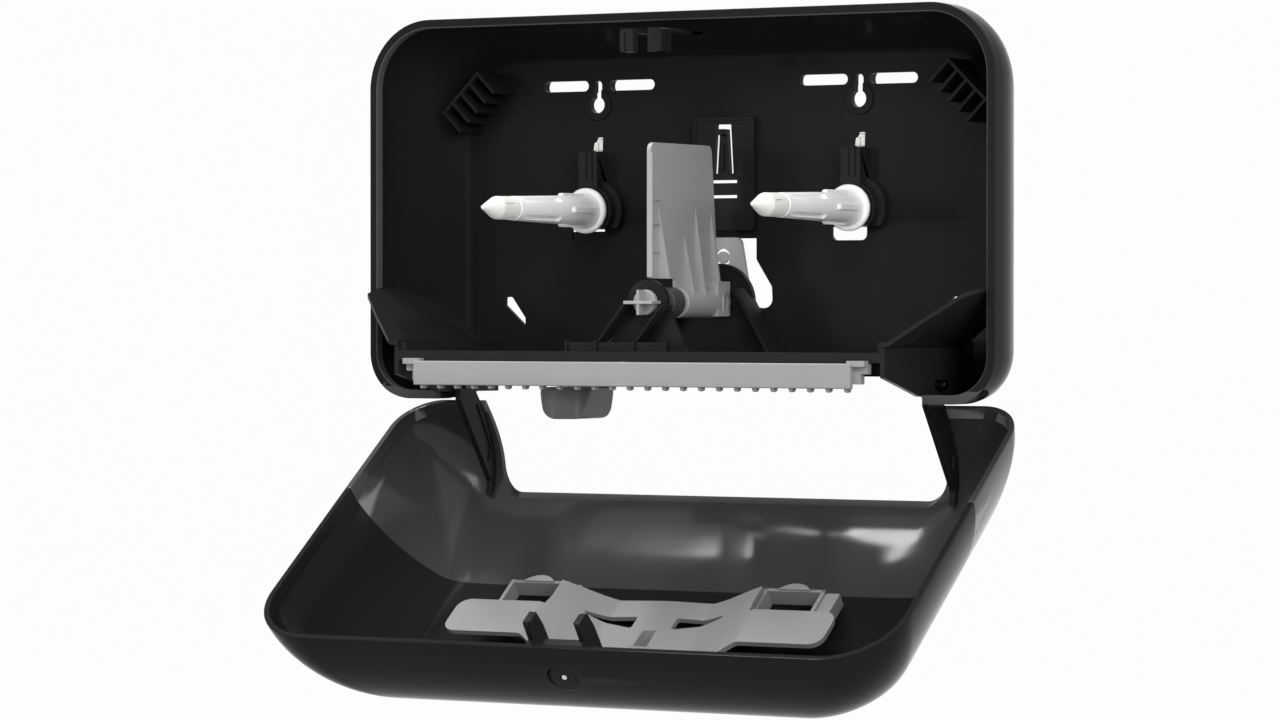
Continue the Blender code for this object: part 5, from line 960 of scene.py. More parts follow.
class DISPENSER_OT_chute_frame(DispenserOperator, bpy.types.Operator):
    """Builds the chute: its fence, floor with two paper throats, end cheeks and slanted wings"""

    bl_idname = "dispenser.chute_frame"
    bl_label = "Chute Frame"

    def wing(self, side):
        """The wing that slants from the chute up to the side wall."""
        sizes = self.housing
        low_x, low_z, tip_x, tip_z = 138.0 * MM, -65.3 * MM, 166.4 * MM, -41.9 * MM
        slope = (tip_z - low_z) / (tip_x - low_x)

        def row(y, outer):
            middle = (low_x + outer) / 2
            z = low_z + (outer - low_x) * slope
            top = [(133.6 * MM, low_z), (low_x - 0.6 * MM, low_z), (low_x + 0.4 * MM, low_z + 0.36 * MM),
                   (middle, (low_z + z) / 2), (outer, z)]
            under = [(x, height - 2.2 * MM) for x, height in reversed(top)]
            return [Vector((side * x, y, height)) for x, height in top + under]

        rows = [row(-105.0 * MM, low_x + OVER), row(-93.0 * MM, low_x + 16.0 * MM), row(-81.5 * MM, tip_x)]
        rim_y = OVER - sizes.depth
        for share in (0.0, 0.06, 0.12, 0.22, 0.35, 0.47, 0.6, 0.7, 0.8, 0.9, 1.0):
            y = rim_y + (-20.0 * MM - rim_y) * share
            wall = max(point.x for point in housing_ring(sizes, y, sizes.rim))
            rows.append(row(y, wall - 0.6 * MM))
        return skin(rows)

    def execute(self, context):
        sizes = self.housing
        top, bottom, front = sizes.floor_top, sizes.floor_top - 2.0 * MM, sizes.fence_front
        frame_piece = block(-133.8 * MM, 133.8 * MM, front + OVER, sizes.plate_face - GAP, bottom, top)
        fence = slab("Y", rounded([(-134.0 * MM, bottom, 0), (134.0 * MM, bottom, 0),
                                   (134.0 * MM, -70.2 * MM, 0.8 * MM), (-134.0 * MM, -70.2 * MM, 0.8 * MM)],
                                  3), front, front + 2.5 * MM)
        parts = [fence]
        for side in (-1, 1):
            near, far = span(side, 133.6, 136.0)
            parts.append(slab("X", [(front, -65.0 * MM), (front, -82.0 * MM), (-sizes.depth, -91.4 * MM),
                                    (-8.3 * MM, -91.8 * MM), (-8.3 * MM, -65.3 * MM)], near, far))
            parts.append(self.wing(side))
            near, far = span(side, 131.0, 134.0)
            parts.append(block(near, far, front + 2.0 * MM, front + 9.0 * MM, bottom, -66.0 * MM, 0.4 * MM))
            for x in (58.0, 100.0):
                near, far = sorted((side * x * MM, side * (x + 1.6) * MM))
                parts.append(slab("X", [(front + 2.0 * MM, -70.5 * MM), (front + 6.0 * MM, top - 0.2 * MM),
                                        (front + 2.0 * MM, top - 0.2 * MM)], near, far))
        weld(frame_piece, *parts)
        cuts = []
        for side in (-1, 1):
            near, far = span(side, 24.0, 127.0)
            cuts.append(slab("Z", box_outline(near, far, -97.5 * MM, -36.0 * MM, 2.0 * MM), bottom - OVER,
                             top + OVER))
            near, far = span(side, 132.6, 137.0)
            cuts.append(rod("X", self.cover.hinge_depth, self.cover.hinge_height, HINGE_BORE, near, far,
                            32))
        cuts.append(block(-25.0 * MM, 25.0 * MM, -77.0 * MM, -62.5 * MM, bottom - OVER, top + OVER))
        cut_each(frame_piece, *cuts)
        soften(frame_piece, 0.3 * MM)
        self.stand_in(frame_piece, "chute_frame", "housing", "black_plastic", "satin_black")
        return {"FINISHED"}


class DISPENSER_OT_tear_bar(DispenserOperator, bpy.types.Operator):
    """Builds the grey bar that the paper is torn on, with a row of rounded nubs"""

    bl_idname = "dispenser.tear_bar"
    bl_label = "Tear Bar"

    def execute(self, context):
        sizes = self.housing
        half, front, back = sizes.bar_half_width, -110.0 * MM, -107.4 * MM
        top, bottom = -75.3 * MM, -87.2 * MM
        profile = rounded([(front, bottom, 0.7 * MM), (back, bottom, 0.3 * MM), (back, top, 0.3 * MM),
                           (front, top, 0.6 * MM)], 4)
        bar = slab("X", profile, -half, half)
        flange = block(-half, half, back - OVER, -101.5 * MM, -77.7 * MM, -75.3 * MM)
        ends = []
        for side in (-1, 1):
            near, far = sorted((side * (half - 2.5 * MM), side * (half + 6.9 * MM)))
            ends.append(block(near, far, front + 0.5 * MM, -104.3 * MM, top - 1.6 * MM, top + 1.3 * MM,
                              0.35 * MM))
            ends.append(block(near, far, -105.8 * MM, -101.5 * MM, top - 5.0 * MM, top, 0.35 * MM))
            near, far = sorted((side * (half - 2.5 * MM), side * (half + 3.4 * MM)))
            ends.append(block(near, far, -105.8 * MM, -101.5 * MM, top - 9.8 * MM, top - 0.2 * MM,
                              0.35 * MM))
            near, far = sorted((side * (half - 2.5 * MM), side * (half - 0.1 * MM)))
            ends.append(block(near, far, back - OVER, -101.7 * MM, top - 9.6 * MM, top - 0.3 * MM,
                              0.2 * MM))
        weld(bar, flange, *ends)
        bead = turned("Y", 0.0, bottom - 0.6 * MM, [(back - 0.4 * MM, 1.0 * MM), (back, 1.25 * MM),
                                                    (-105.0 * MM, 1.3 * MM), (-104.2 * MM, 1.15 * MM),
                                                    (-103.8 * MM, 0.7 * MM)], 20)
        beads = []
        for i in range(sizes.nubs):
            beads.append(copied(bead, ((i - (sizes.nubs - 1) / 2) * 9.8 * MM, 0.0, 0.0)))
        bpy.data.objects.remove(bead)
        weld(bar, joined(beads))
        soften(bar, 0.2 * MM, 2, 50.0)
        self.stand_in(bar, "tear_bar", "housing", "grey_plastic", "bar_grey", smooth=40.0)
        return {"FINISHED"}


class DISPENSER_OT_latch_catch(DispenserOperator, bpy.types.Operator):
    """Builds the two L-shaped posts under the top wall that the lock's cam grips"""

    bl_idname = "dispenser.latch_catch"
    bl_label = "Latch Catch"

    def execute(self, context):
        half, bottom, top = 11.6 * MM, 75.0 * MM, 86.4 * MM
        front, mid, back = -96.0 * MM, -86.0 * MM, -54.0 * MM
        outer = slab("Y", box_outline(-half, half, bottom, top, 0.8 * MM, 3), front, mid)
        plate = block(-half, half, mid - 2.0 * MM, back, top - 2.0 * MM, top, 0.4 * MM)
        seat = block(-half, half, -65.6 * MM, back, top - 1.9 * MM,
                     self.housing.top - self.housing.rim - GAP)
        weld(outer, plate, seat)
        inside = block(-half + 2.0 * MM, half - 2.0 * MM, -91.2 * MM, mid + 1.0 * MM, bottom - OVER,
                       top - 2.0 * MM)
        slot = block(-4.0 * MM, 4.0 * MM, front - OVER, -77.0 * MM, bottom - OVER, top + OVER)
        cut_each(outer, inside, slot)
        groove = slab("Y", [(-half + 2.6 * MM, bottom - OVER), (-half + 3.4 * MM, bottom - OVER),
                            (-half + 3.4 * MM, top - 2.0 * MM), (-half + 2.6 * MM, top - 2.0 * MM)],
                      front - OVER, front + 0.5 * MM)
        cut_each(outer, groove)
        soften(outer, 0.35 * MM)
        self.stand_in(outer, "latch_catch", "housing", "black_plastic", "satin_black")
        return {"FINISHED"}


def arch(axis_z, radius, waist_z, foot_x, foot_z, steps=24):
    """The outline of a stand: a half circle over spread feet."""
    points = []
    for step in range(steps + 1):
        turn = math.pi * step / steps
        points.append((radius * math.cos(turn), axis_z + radius * math.sin(turn)))
    return points + [(-radius, waist_z), (-foot_x, foot_z), (foot_x, foot_z), (radius, waist_z)]


def leg_rib(side, top, foot, half_width, front, back):
    """A thin rib along a slanted line, cut level at its foot."""
    start, end = Vector(top), Vector(foot)
    run = (end - start).normalized()
    across = Vector((-run.y, run.x)) * half_width
    ends = [start + across, start - across, end - across, end + across]
    return slab("Y", [(side * p.x, max(p.y, end.y)) for p in ends], front, back)


PIVOT_BORE = 3.5 * MM


class DISPENSER_OT_brackets(DispenserOperator, bpy.types.Operator):
    """Builds the two arches that carry the flap, and the fixed pin in the front one"""

    bl_idname = "dispenser.brackets"
    bl_label = "Flap Brackets and Pin"

    def execute(self, context):
        axis = self.rolls.flap_axis
        foot = self.housing.floor_top + GAP
        front = slab("Y", arch(axis, 11.2 * MM, -48.0 * MM, 23.6 * MM, foot), -89.0 * MM, -86.8 * MM)
        ahead, wall_top = -99.5 * MM, -65.8 * MM
        parts = [block(-39.9 * MM, 17.2 * MM, ahead, ahead + 1.8 * MM, foot, wall_top, 0.3 * MM),
                 block(-23.6 * MM, 17.2 * MM, ahead + 0.2 * MM, -87.0 * MM, foot + 0.05 * MM,
                       foot + 2.0 * MM)]
        for x in (-22.6, -1.5):
            strut = [(x - 0.7, -66.2), (x + 0.7, -66.2), (x + 15.7, -47.7), (x + 14.3, -47.7)]
            parts.append(slab("Y", [(a * MM, b * MM) for a, b in strut], ahead + 0.1 * MM, -88.0 * MM))
        for x in (-39.9, -23.4, -2.3, 15.6):
            parts.append(block(x * MM, (x + 1.6) * MM, ahead - 1.4 * MM, ahead + 1.7 * MM, foot,
                               wall_top + 0.8 * MM, 0.35 * MM))
        weld(front, *parts)
        cut_each(front, rod("Y", 0.0, axis, PIVOT_BORE, -91.0 * MM, -85.0 * MM))
        soften(front, 0.25 * MM)
        self.stand_in(front, "front_bracket", "housing", "black_plastic", "satin_black")
        rear = slab("Y", arch(axis, 19.5 * MM, -48.0 * MM, 36.0 * MM, foot), -16.4 * MM, -13.4 * MM)
        rim = slab("Y", arch(axis, 18.0 * MM, -48.5 * MM, 33.0 * MM, foot + 2.0 * MM), -19.0 * MM,
                   -15.8 * MM)
        ribs = [leg_rib(side, (15.5 * MM, -40.0 * MM), (34.5 * MM, foot), 1.1 * MM, -28.0 * MM,
                        -14.4 * MM) for side in (-1, 1)]
        weld(rear, *ribs)
        cut_each(rear, rim, rod("Y", 0.0, axis, 4.8 * MM, -18.0 * MM, -12.0 * MM))
        soften(rear, 0.3 * MM)
        self.stand_in(rear, "rear_bracket", "housing", "black_plastic", "satin_black")
        peg = turned("Y", 0.0, axis, mm_rows((-92.5, 5.7), (-92.1, 6.2), (-89.7, 6.2), (-89.3, 5.8),
                                             (-89.3, 3.2), (-45.6, 3.2), (-45.0, 2.6)))
        fin = block(-8.0 * MM, 8.0 * MM, -98.9 * MM, -89.7 * MM, axis - 0.8 * MM, axis + 0.8 * MM, 0.3 * MM)
        upright = block(-0.8 * MM, 0.8 * MM, -98.7 * MM, -89.8 * MM, axis - 6.1 * MM, axis + 6.1 * MM,
                        0.3 * MM)
        weld(peg, fin, upright)
        soften(peg, 0.18 * MM, 2, 45.0)
        self.stand_in(peg, "flap_pivot_pin", "housing", "grey_plastic", "flap_grey")
        return {"FINISHED"}


class DISPENSER_OT_flap(DispenserOperator, bpy.types.Operator):
    """Builds the swinging flap between the rolls, with its fins, hub and rear cheek"""

    bl_idname = "dispenser.flap"
    bl_label = "Flap"

    def crescent(self, sign):
        """One of the two curved slots in the flap's rear cheek."""
        points = []
        for radius, back in ((4.5 * MM, False), (3.0 * MM, True)):
            first = math.asin(1.6 * MM / radius)
            arc = [first + (math.pi - 2 * first) * i / 14 for i in range(15)]
            for turn in (reversed(arc) if back else arc):
                points.append((radius * math.cos(turn), -24.0 * MM + sign * radius * math.sin(turn)))
        return slab("Y", points, -14.0 * MM, -9.0 * MM)

    def execute(self, context):
        axis, top = self.rolls.flap_axis, self.rolls.flap_top
        t = 1.1 * MM
        outline = rounded([(-87.5 * MM, top, 4.0 * MM), (-87.5 * MM, -34.8 * MM, 1.2 * MM),
                           (-62.0 * MM, -34.8 * MM, 0), (-61.0 * MM, axis, 0), (-18.0 * MM, axis, 0),
                           (-26.0 * MM, top, 4.0 * MM)], 10)
        sheet = slab("X", outline, -t, t)
        parts = [turned("Y", 0.0, axis, mm_rows((-61.0, 6.9), (-60.4, 7.5), (-17.6, 7.5), (-17.0, 6.9))),
                 block(*mm(-7.0, 7.0, -30.0, -17.0, -53.5, -36.0, 0.5)),
                 rod("Y", 0.0, axis, 4.5 * MM, -18.0 * MM, -10.4 * MM)]
        for y, height, reach in ((-79.0, 6.0, 7.2), (-54.4, 10.0, 1.9), (-53.0, -8.0, 7.2),
                                 (-42.0, 9.0, 7.2), (-26.0, 6.0, 7.2)):
            low = -34.8 if y < -62.0 else -45.0
            parts.append(slab("Y", [(0.0, height * MM), (0.0, low * MM), (reach * MM, low * MM)],
                              (y - 0.65) * MM, (y + 0.65) * MM))
        parts.append(block(0.0, t + 0.7 * MM, -87.4 * MM, -86.2 * MM, -34.2 * MM, top - 5.0 * MM, 0.3 * MM))
        for level in (4.0, -8.0, -21.5):
            parts.append(block(0.0, t + 0.9 * MM, -87.0 * MM, -78.8 * MM, (level - 0.7) * MM,
                               (level + 0.7) * MM, 0.25 * MM))
        fan = rounded(mm_rows((-10.3, -14.0, 3.5), (-15.0, -40.0, 1.5), (-8.0, -54.0, 3.5),
                              (8.0, -54.0, 3.5), (15.0, -40.0, 1.5), (10.3, -14.0, 3.5)), 6)
        parts.append(slab("Y", fan, -12.6 * MM, -10.4 * MM))
        weld(sheet, *parts)
        window = block(*mm(4.8, 8.0, -27.0, -20.0, -50.5, -42.5))
        bore = rod("Y", 0.0, axis, PIVOT_BORE, -63.0 * MM, -44.0 * MM)
        cut_each(sheet, self.crescent(1), self.crescent(-1), bore, window)
        weld(sheet, rod("Z", 5.9 * MM, -23.5 * MM, 1.2 * MM, -50.9 * MM, -42.1 * MM, 24))
        soften(sheet, 0.3 * MM)
        self.stand_in(sheet, "flap", "roll_flap", "grey_plastic", "flap_grey")
        return {"FINISHED"}


class DISPENSER_OT_selector_lever(DispenserOperator, bpy.types.Operator):
    """Builds the lever whose paddle hangs under the paper throat"""

    bl_idname = "dispenser.selector_lever"
    bl_label = "Selector Lever"

    def execute(self, context):
        axis = self.rolls.flap_axis
        hub = turned("Y", 0.0, axis, mm_rows((-75.6, 7.1), (-75.1, 7.6), (-64.5, 7.6), (-64.0, 7.1)))
        foot, top = Vector((-43.3, -90.0)) * MM, Vector((0.0, axis))
        across = Vector((-(foot - top).y, (foot - top).x)).normalized() * 3.6 * MM
        ends = [top + across, top - across, foot - across, foot + across]
        arm = slab("Y", [tuple(point) for point in ends], -74.6 * MM, -68.0 * MM)
        face = rounded(mm_rows((-56.0, -88.0, 0.6), (-51.5, -103.5, 8.0), (-34.6, -103.5, 2.5),
                               (-30.6, -88.0, 0.6)), 12)
        paddle = slab("Y", face, -100.0 * MM, -66.0 * MM)
        profile = rounded(mm_rows((-101.0, -87.0, 0), (-101.0, -103.5, 0), (-66.0, -103.5, 6.0),
                                  (-66.0, -87.0, 0)), 10)
        combine(paddle, [slab("X", profile, -57.0 * MM, -29.0 * MM)], "INTERSECT")
        plan = rounded(mm_rows((-56.0, -100.0, 5.0), (-30.6, -100.0, 16.0), (-30.6, -66.0, 4.0),
                               (-56.0, -66.0, 4.0)), 10)
        combine(paddle, [slab("Z", plan, -104.5 * MM, -87.0 * MM)], "INTERSECT")
        weld(paddle, arm, hub)
        cut_each(paddle, rod("Y", 0.0, axis, PIVOT_BORE, -77.0 * MM, -63.0 * MM))
        soften(paddle, 0.5 * MM, 3, 40.0)
        self.stand_in(paddle, "selector_lever", "selector", "charcoal_plastic", "charcoal")
        return {"FINISHED"}


# Cover, drawn as it lies when shut
SIDE_DRAW = 44.3 * MM
TOP_DRAW = 46.0 * MM
BOTTOM_DRAW = 90.0 * MM
CROWN = 2.1 * MM
SIDE_POWER = 1.5
TOP_POWER = 2.15
BOTTOM_POWER = 2.84
CORNER_GROWTH = 10.0 * MM
LOCK_Y = -86.8 * MM
LOCK_HOLE = 8.3 * MM
HINGE_BORE = 2.8 * MM
GUIDE_X = 71.5 * MM
CUT_FRONT = -113.0 * MM


def draw_in(reach, amount, power):
    """How far the cover is drawn in at a share of its depth."""
    return amount * (1 - (1 - min(reach, 1.0) ** power) ** (1 / power))


def cover_ring(housing, cover, reach, wall):
    """The outline of the cover at a share of its depth, drawn in by its wall."""
    side = wall + draw_in(reach, SIDE_DRAW, SIDE_POWER)
    return upright_frame(housing.half_width - side, housing.bottom + wall + draw_in(reach, BOTTOM_DRAW,
                                                                                    BOTTOM_POWER),
                         housing.top - wall - draw_in(reach, TOP_DRAW, TOP_POWER),
                         housing.lower_corner + CORNER_GROWTH * reach - wall, housing.upper_corner - wall,
                         cover.rim - (cover.depth - wall) * reach)


def cover_level(housing, cover, x, y, top=False):
    """The height of the cover's inner face at its bottom or top, at a place (x, y)."""
    reach = max((cover.rim - y) / (cover.depth - cover.wall), 0.0)
    if top:
        return housing.top - cover.wall - draw_in(reach, TOP_DRAW, TOP_POWER)
    half_width = housing.half_width - cover.wall - draw_in(reach, SIDE_DRAW, SIDE_POWER)
    bottom = housing.bottom + cover.wall + draw_in(reach, BOTTOM_DRAW, BOTTOM_POWER)
    radius = housing.lower_corner + CORNER_GROWTH * reach - cover.wall
    over = max(abs(x) - (half_width - radius), 0.0)
    return bottom + radius - math.sqrt(max(radius ** 2 - over ** 2, 0.0))


class DISPENSER_OT_cover(DispenserOperator, bpy.types.Operator):
    """Builds the domed cover: its black shell and the smoke window under the seam"""

    bl_idname = "dispenser.cover"
    bl_label = "Cover Shell and Window"

    def dome(self, wall, first):
        """The rows of the dome's outer or inner face, from a depth on."""
        housing, cover = self.housing, self.cover
        rows = []
        for i in range(29):
            reach = math.sin(math.pi / 2 * i / 28)
            if cover.depth * reach > first:
                rows.append(cover_ring(housing, cover, reach, wall))
        centre = sum(rows[-1], Vector()) / len(rows[-1])
        last = rows[-1]
        for share in (0.96, 0.9, 0.82, 0.72, 0.6, 0.5, 0.4):
            rise = Vector((0.0, -CROWN * (1 - share * share), 0.0))
            rows.append([centre + (point - centre) * share + rise for point in last])
        return rows

    def body(self):
        """The closed skin of the whole dome, with its lip."""
        housing, cover = self.housing, self.cover

        def lip(ahead, wall):
            return cover_ring(housing, cover, ahead * MM / (cover.depth - wall * MM), wall * MM)

        rows = list(reversed(self.dome(cover.wall, 8.0 * MM)))
        rows += [lip(6.4, 2.5), lip(6.0, 2.6), lip(5.7, 3.0), lip(0.5, 3.0), lip(0.12, 2.85), lip(0.0, 2.5),
                 lip(0.0, 0.5), lip(0.1, 0.15), lip(0.45, 0.0), lip(3.0, 0.0)]
        return skin(rows + self.dome(0.0, 4.5 * MM))

    def execute(self, context):
        housing, cover = self.housing, self.cover
        reach = housing.half_width + OVER
        front, back = cover.rim - cover.depth - 6.0 * MM, cover.rim + OVER
        shell = self.body()
        window = copied(shell)
        lower = block(-reach, reach, front, back, housing.bottom - OVER, cover.seam + 0.15 * MM)
        lock = rod("Z", 0.0, LOCK_Y, LOCK_HOLE, 84.0 * MM, housing.top + OVER, 64)
        cut_each(shell, lower)
        upper = block(-reach, reach, front, back, cover.seam - 0.15 * MM, housing.top + OVER)
        mouth = slab("Z", rounded([(-128.8 * MM, back, 0), (-125.5 * MM, CUT_FRONT, 11.0 * MM),
                                   (125.5 * MM, CUT_FRONT, 11.0 * MM), (128.8 * MM, back, 0)], 14),
                     housing.bottom - OVER, -60.0 * MM)
        cut_each(window, upper, mouth)
        for piece in (shell, window):
            soften(piece, 0.35 * MM, 2, 50.0)
        cut_each(shell, lock)
        for piece in (shell, window):
            swing_open(piece, cover)
        self.stand_in(shell, "cover_shell", "cover", "black_plastic", "cover_black")
        self.stand_in(window, "cover_window", "cover", "smoke_plastic", "smoke")
        return {"FINISHED"}


class DISPENSER_OT_hinges(DispenserOperator, bpy.types.Operator):
    """Builds the two arms that carry the cover and the dark steel pins that they turn on"""

    bl_idname = "dispenser.hinges"
    bl_label = "Hinge Arms and Pins"

    def execute(self, context):
        housing, cover = self.housing, self.cover
        y0, z0 = cover.hinge_depth, cover.hinge_height
        top, tip = -76.6 * MM, -110.0 * MM
        eye = []
        for step in range(17):
            turn = math.radians(-60 + 150 * step / 16)
            eye.append((y0 + 5.5 * MM * math.cos(turn), z0 + 5.5 * MM * math.sin(turn)))
        under = []
        for i in range(11):
            y = cover.rim + (tip - cover.rim) * i / 10
            under.append((y, cover_level(housing, cover, 133.0 * MM, y) + 0.6 * MM))
        over = [(y0 - 5.5 * MM, top), (-104.6 * MM, top), (tip, under[-1][1] + 4.0 * MM)]
        for word, side in (("left", -1), ("right", 1)):
            near, far = span(side, 129.8, 133.0)
            arm = slab("X", eye + over + list(reversed(under)), near, far)
            pocket = rounded(mm_rows((-62.0, -79.0, 1.5), (-96.0, -79.2, 1.2), (-90.0, -86.6, 1.5),
                                     (-64.0, -89.0, 1.5)), 5)
            cut_each(arm, slab("X", pocket, near - OVER, near + 0.9 * MM),
                     slab("X", pocket, far - 0.9 * MM, far + OVER),
                     rod("X", y0, z0, HINGE_BORE, near - OVER, far + OVER, 32))
            soften(arm, 0.3 * MM)
            swing_open(arm, cover)
            self.stand_in(arm, f"hinge_arm_{word}", "cover", "charcoal_plastic", "satin_black")
            inner = 129.5 * MM
            profile = [(inner - 1.6 * MM, 3.4 * MM), (inner - 1.2 * MM, 3.9 * MM),
                       (inner - 0.4 * MM, 4.0 * MM), (inner, 3.8 * MM), (inner, 2.5 * MM),
                       (140.4 * MM, 2.5 * MM), (141.0 * MM, 2.0 * MM)]
            pin = turned("X", y0, z0, [(side * a, r) for a, r in profile], 40)
            groove = turned("X", y0, z0, [(side * 126.8 * MM, 1.7 * MM), (side * 128.4 * MM, 1.5 * MM)], 24)
            cut_each(pin, groove)
            self.stand_in(pin, f"hinge_pin_{word}", "housing", "pin_steel", "dark_steel", ending="turned")
        return {"FINISHED"}


class DISPENSER_OT_roll_guide_plate(DispenserOperator, bpy.types.Operator):
    """Builds the grey guide plate in the cover, with its two frames"""

    bl_idname = "dispenser.roll_guide_plate"
    bl_label = "Roll Guide Plate"

    def execute(self, context):
        lobe_y, web_y, thick = -108.5 * MM, -121.0 * MM, 2.5 * MM
        web_end, lobe_start = 26.0 * MM, 60.0 * MM

        def ramp(x):
            share = min(max((abs(x) - web_end) / (lobe_start - web_end), 0.0), 1.0)
            share = 0.65 * share + 0.35 * share * share * (3 - 2 * share)
            return web_y + (lobe_y - web_y) * share

        half = [(0.0, -6.0, 0), (26.0, -5.0, 5), (56.0, -6.0, 0), (56.0, 6.0, 0), (57.0, 12.5, 0),
                (105.0, 12.5, 7), (105.0, 36.8, 7), (60.0, 36.8, 8), (50.0, 43.0, 8), (24.0, 50.0, 8),
                (0.0, 50.0, 0)]
        right = [(a * MM, b * MM, r * MM) for a, b, r in half]
        left = [(-a, b, r) for a, b, r in reversed(right[1:-1])]
        sheet = slab("Y", rounded(right + left, 8), 0.0, -thick)
        holes = []
        for side in (-1, 1):
            corners = [(side * 11.0 * MM, 6.8 * MM, 1.2 * MM), (side * 44.0 * MM, 9.0 * MM, 0.8 * MM),
                       (side * 11.0 * MM, 15.5 * MM, 1.2 * MM)]
            holes.append(slab("Y", rounded(corners, 5), OVER, -thick - OVER))
        cut(sheet, *holes)
        with editing(sheet):
            for side in (-1, 1):
                for i in range(19):
                    bpy.ops.mesh.select_all(action="SELECT")
                    x = side * (web_end + (lobe_start - web_end) * i / 18)
                    bpy.ops.mesh.bisect(plane_co=(x, 0.0, 0.0), plane_no=(1.0, 0.0, 0.0), threshold=WELD)
        for vert in sheet.data.vertices:
            vert.co.y = ramp(vert.co.x) - vert.co.y - thick
        outward(sheet)
        parts = []
        joint_y = lobe_y - thick / 2
        for side in (-1, 1):
            frame = [(-122.0 * MM, -9.5 * MM), (-113.5 * MM, -9.5 * MM), (-113.5 * MM, 12.5 * MM),
                     (joint_y, 13.5 * MM), (joint_y, 15.0 * MM), (-122.0 * MM, 15.0 * MM)]
            for x in (55.0 * MM, 86.0 * MM):
                near, far = sorted((side * x, side * (x + 2.0 * MM)))
                parts.append(slab("X", frame, near, far))
            near, far = span(side, 55.0, 88.0)
            parts.append(block(near, far, -122.0 * MM, -113.5 * MM, -9.5 * MM, -7.5 * MM, 0.2 * MM))
            bump = rod("Y", side * GUIDE_X, -2.0 * MM, 10.5 * MM, -122.0 * MM, -112.6 * MM, 64)
            cut_each(bump, block(side * GUIDE_X - 12.0 * MM, side * GUIDE_X + 12.0 * MM, -123.0 * MM,
                                 -112.0 * MM, -8.0 * MM, 10.0 * MM))
            parts.append(bump)
            start = -55.0 * MM if side < 0 else 88.0 * MM
            parts.append(block(start - 0.5 * MM, start + 7.5 * MM, -122.0 * MM, -114.6 * MM, -8.6 * MM,
                               7.0 * MM, 0.6 * MM))
        inner_cap = max(point.y for point in cover_ring(self.housing, self.cover, 1.0,
                                                        self.cover.wall)) - CROWN * 0.84 + GAP
        parts.append(block(-4.0 * MM, 4.0 * MM, inner_cap, web_y, 16.5 * MM, 29.0 * MM, 0.3 * MM))
        weld(sheet, *parts)
        soften(sheet, 0.4 * MM, 3, 42.0)
        swing_open(sheet, self.cover)
        self.stand_in(sheet, "roll_guide_plate", "cover", "grey_plastic", "guide_grey")
        return {"FINISHED"}


class DISPENSER_OT_lock(DispenserOperator, bpy.types.Operator):
    """Builds the lock in the cover's top: its housing, cylinder, key insert and cam"""

    bl_idname = "dispenser.lock"
    bl_label = "Cover Lock"

    def execute(self, context):
        housing, cover = self.housing, self.cover
        y0, face = LOCK_Y, 93.6 * MM
        top = []
        for i in range(9):
            y = (-93.0 + 25.0 * i / 8) * MM
            top.append((y, cover_level(housing, cover, 0.0, y, top=True) - GAP))
        carrier = slab("X", mm_rows((-68.0, 87.4), (-93.0, 87.4)) + top, -15.4 * MM, 15.4 * MM)
        for side in (-1, 1):
            outline = rounded([(-91.0 * MM, 88.4 * MM, 0), (y0, 77.0 * MM, 1.5 * MM),
                               (-68.0 * MM, 77.0 * MM, 1.0 * MM), (-58.0 * MM, 79.0 * MM, 2.0 * MM),
                               (-58.0 * MM, 88.0 * MM, 0.8 * MM), (-68.0 * MM, 88.4 * MM, 0)], 5)
            near, far = span(side, 12.6, 15.4)
            cheek = slab("X", outline, near, far)
            weld(cheek, block(near - (OVER if side > 0 else 0.0), far + (OVER if side < 0 else 0.0),
                              -60.5 * MM, -58.2 * MM, 80.0 * MM, 87.0 * MM, 0.3 * MM))
            weld(carrier, cheek)
        cut_each(carrier, rod("Z", 0.0, y0, 4.9 * MM, 86.0 * MM, housing.top),
                 rod("Z", 0.0, y0, LOCK_HOLE, 91.5 * MM, housing.top, 64))
        soften(carrier, 0.3 * MM)
        swing_open(carrier, cover)
        self.stand_in(carrier, "lock_housing", "cover", "black_plastic", "satin_black")
        barrel = turned("Z", 0.0, y0, [(face - 0.9 * MM, 1.2 * MM), (face - 0.5 * MM, 2.6 * MM),
                                       (face - 0.5 * MM, 4.2 * MM), (face, 4.6 * MM), (face, 6.6 * MM),
                                       (face - 0.4 * MM, 7.0 * MM), (face - 0.4 * MM, 7.6 * MM),
                                       (face - 0.7 * MM, 8.0 * MM), (face - 1.8 * MM, 8.0 * MM),
                                       (face - 1.8 * MM, 4.6 * MM), (87.8 * MM, 4.6 * MM),
                                       (87.8 * MM, 3.0 * MM), (82.3 * MM, 3.0 * MM), (82.3 * MM, 2.1 * MM),
                                       (77.6 * MM, 2.0 * MM)], 64)
        cut_each(barrel, slab("Z", box_outline(-2.6 * MM, 2.6 * MM, y0 - 0.8 * MM, y0 + 0.8 * MM, 0.3 * MM,
                                               3), face - 2.0 * MM, face + OVER))
        soften(barrel, 0.15 * MM)
        swing_open(barrel, cover)
        self.stand_in(barrel, "lock_cylinder", "lock", "charcoal_plastic", "cover_black", ending="turned")
        insert = turned("Z", 0.0, y0, [(face - 1.9 * MM, 1.5 * MM), (face - 0.6 * MM, 1.5 * MM),
                                       (face - 0.2 * MM, 1.1 * MM)], 32)
        soften(insert, 0.1 * MM)
        swing_open(insert, cover)
        finish(insert, "lock_key_insert", "lock", "pin_steel", self.looks["steel"])
        cam = slab("Z", box_outline(-2.5 * MM, 2.5 * MM, y0 - 8.7 * MM, y0 + 8.7 * MM, 1.6 * MM), 79.0 * MM,
                   82.0 * MM)
        weld(cam, rod("Z", 0.0, y0, 3.5 * MM, 79.0 * MM, 82.0 * MM))
        cut_each(cam, rod("Z", 0.0, y0, 2.4 * MM, 78.0 * MM, 83.0 * MM))
        soften(cam, 0.25 * MM)
        swing_open(cam, cover)
        self.stand_in(cam, "lock_cam", "lock", "charcoal_plastic", "charcoal")
        return {"FINISHED"}


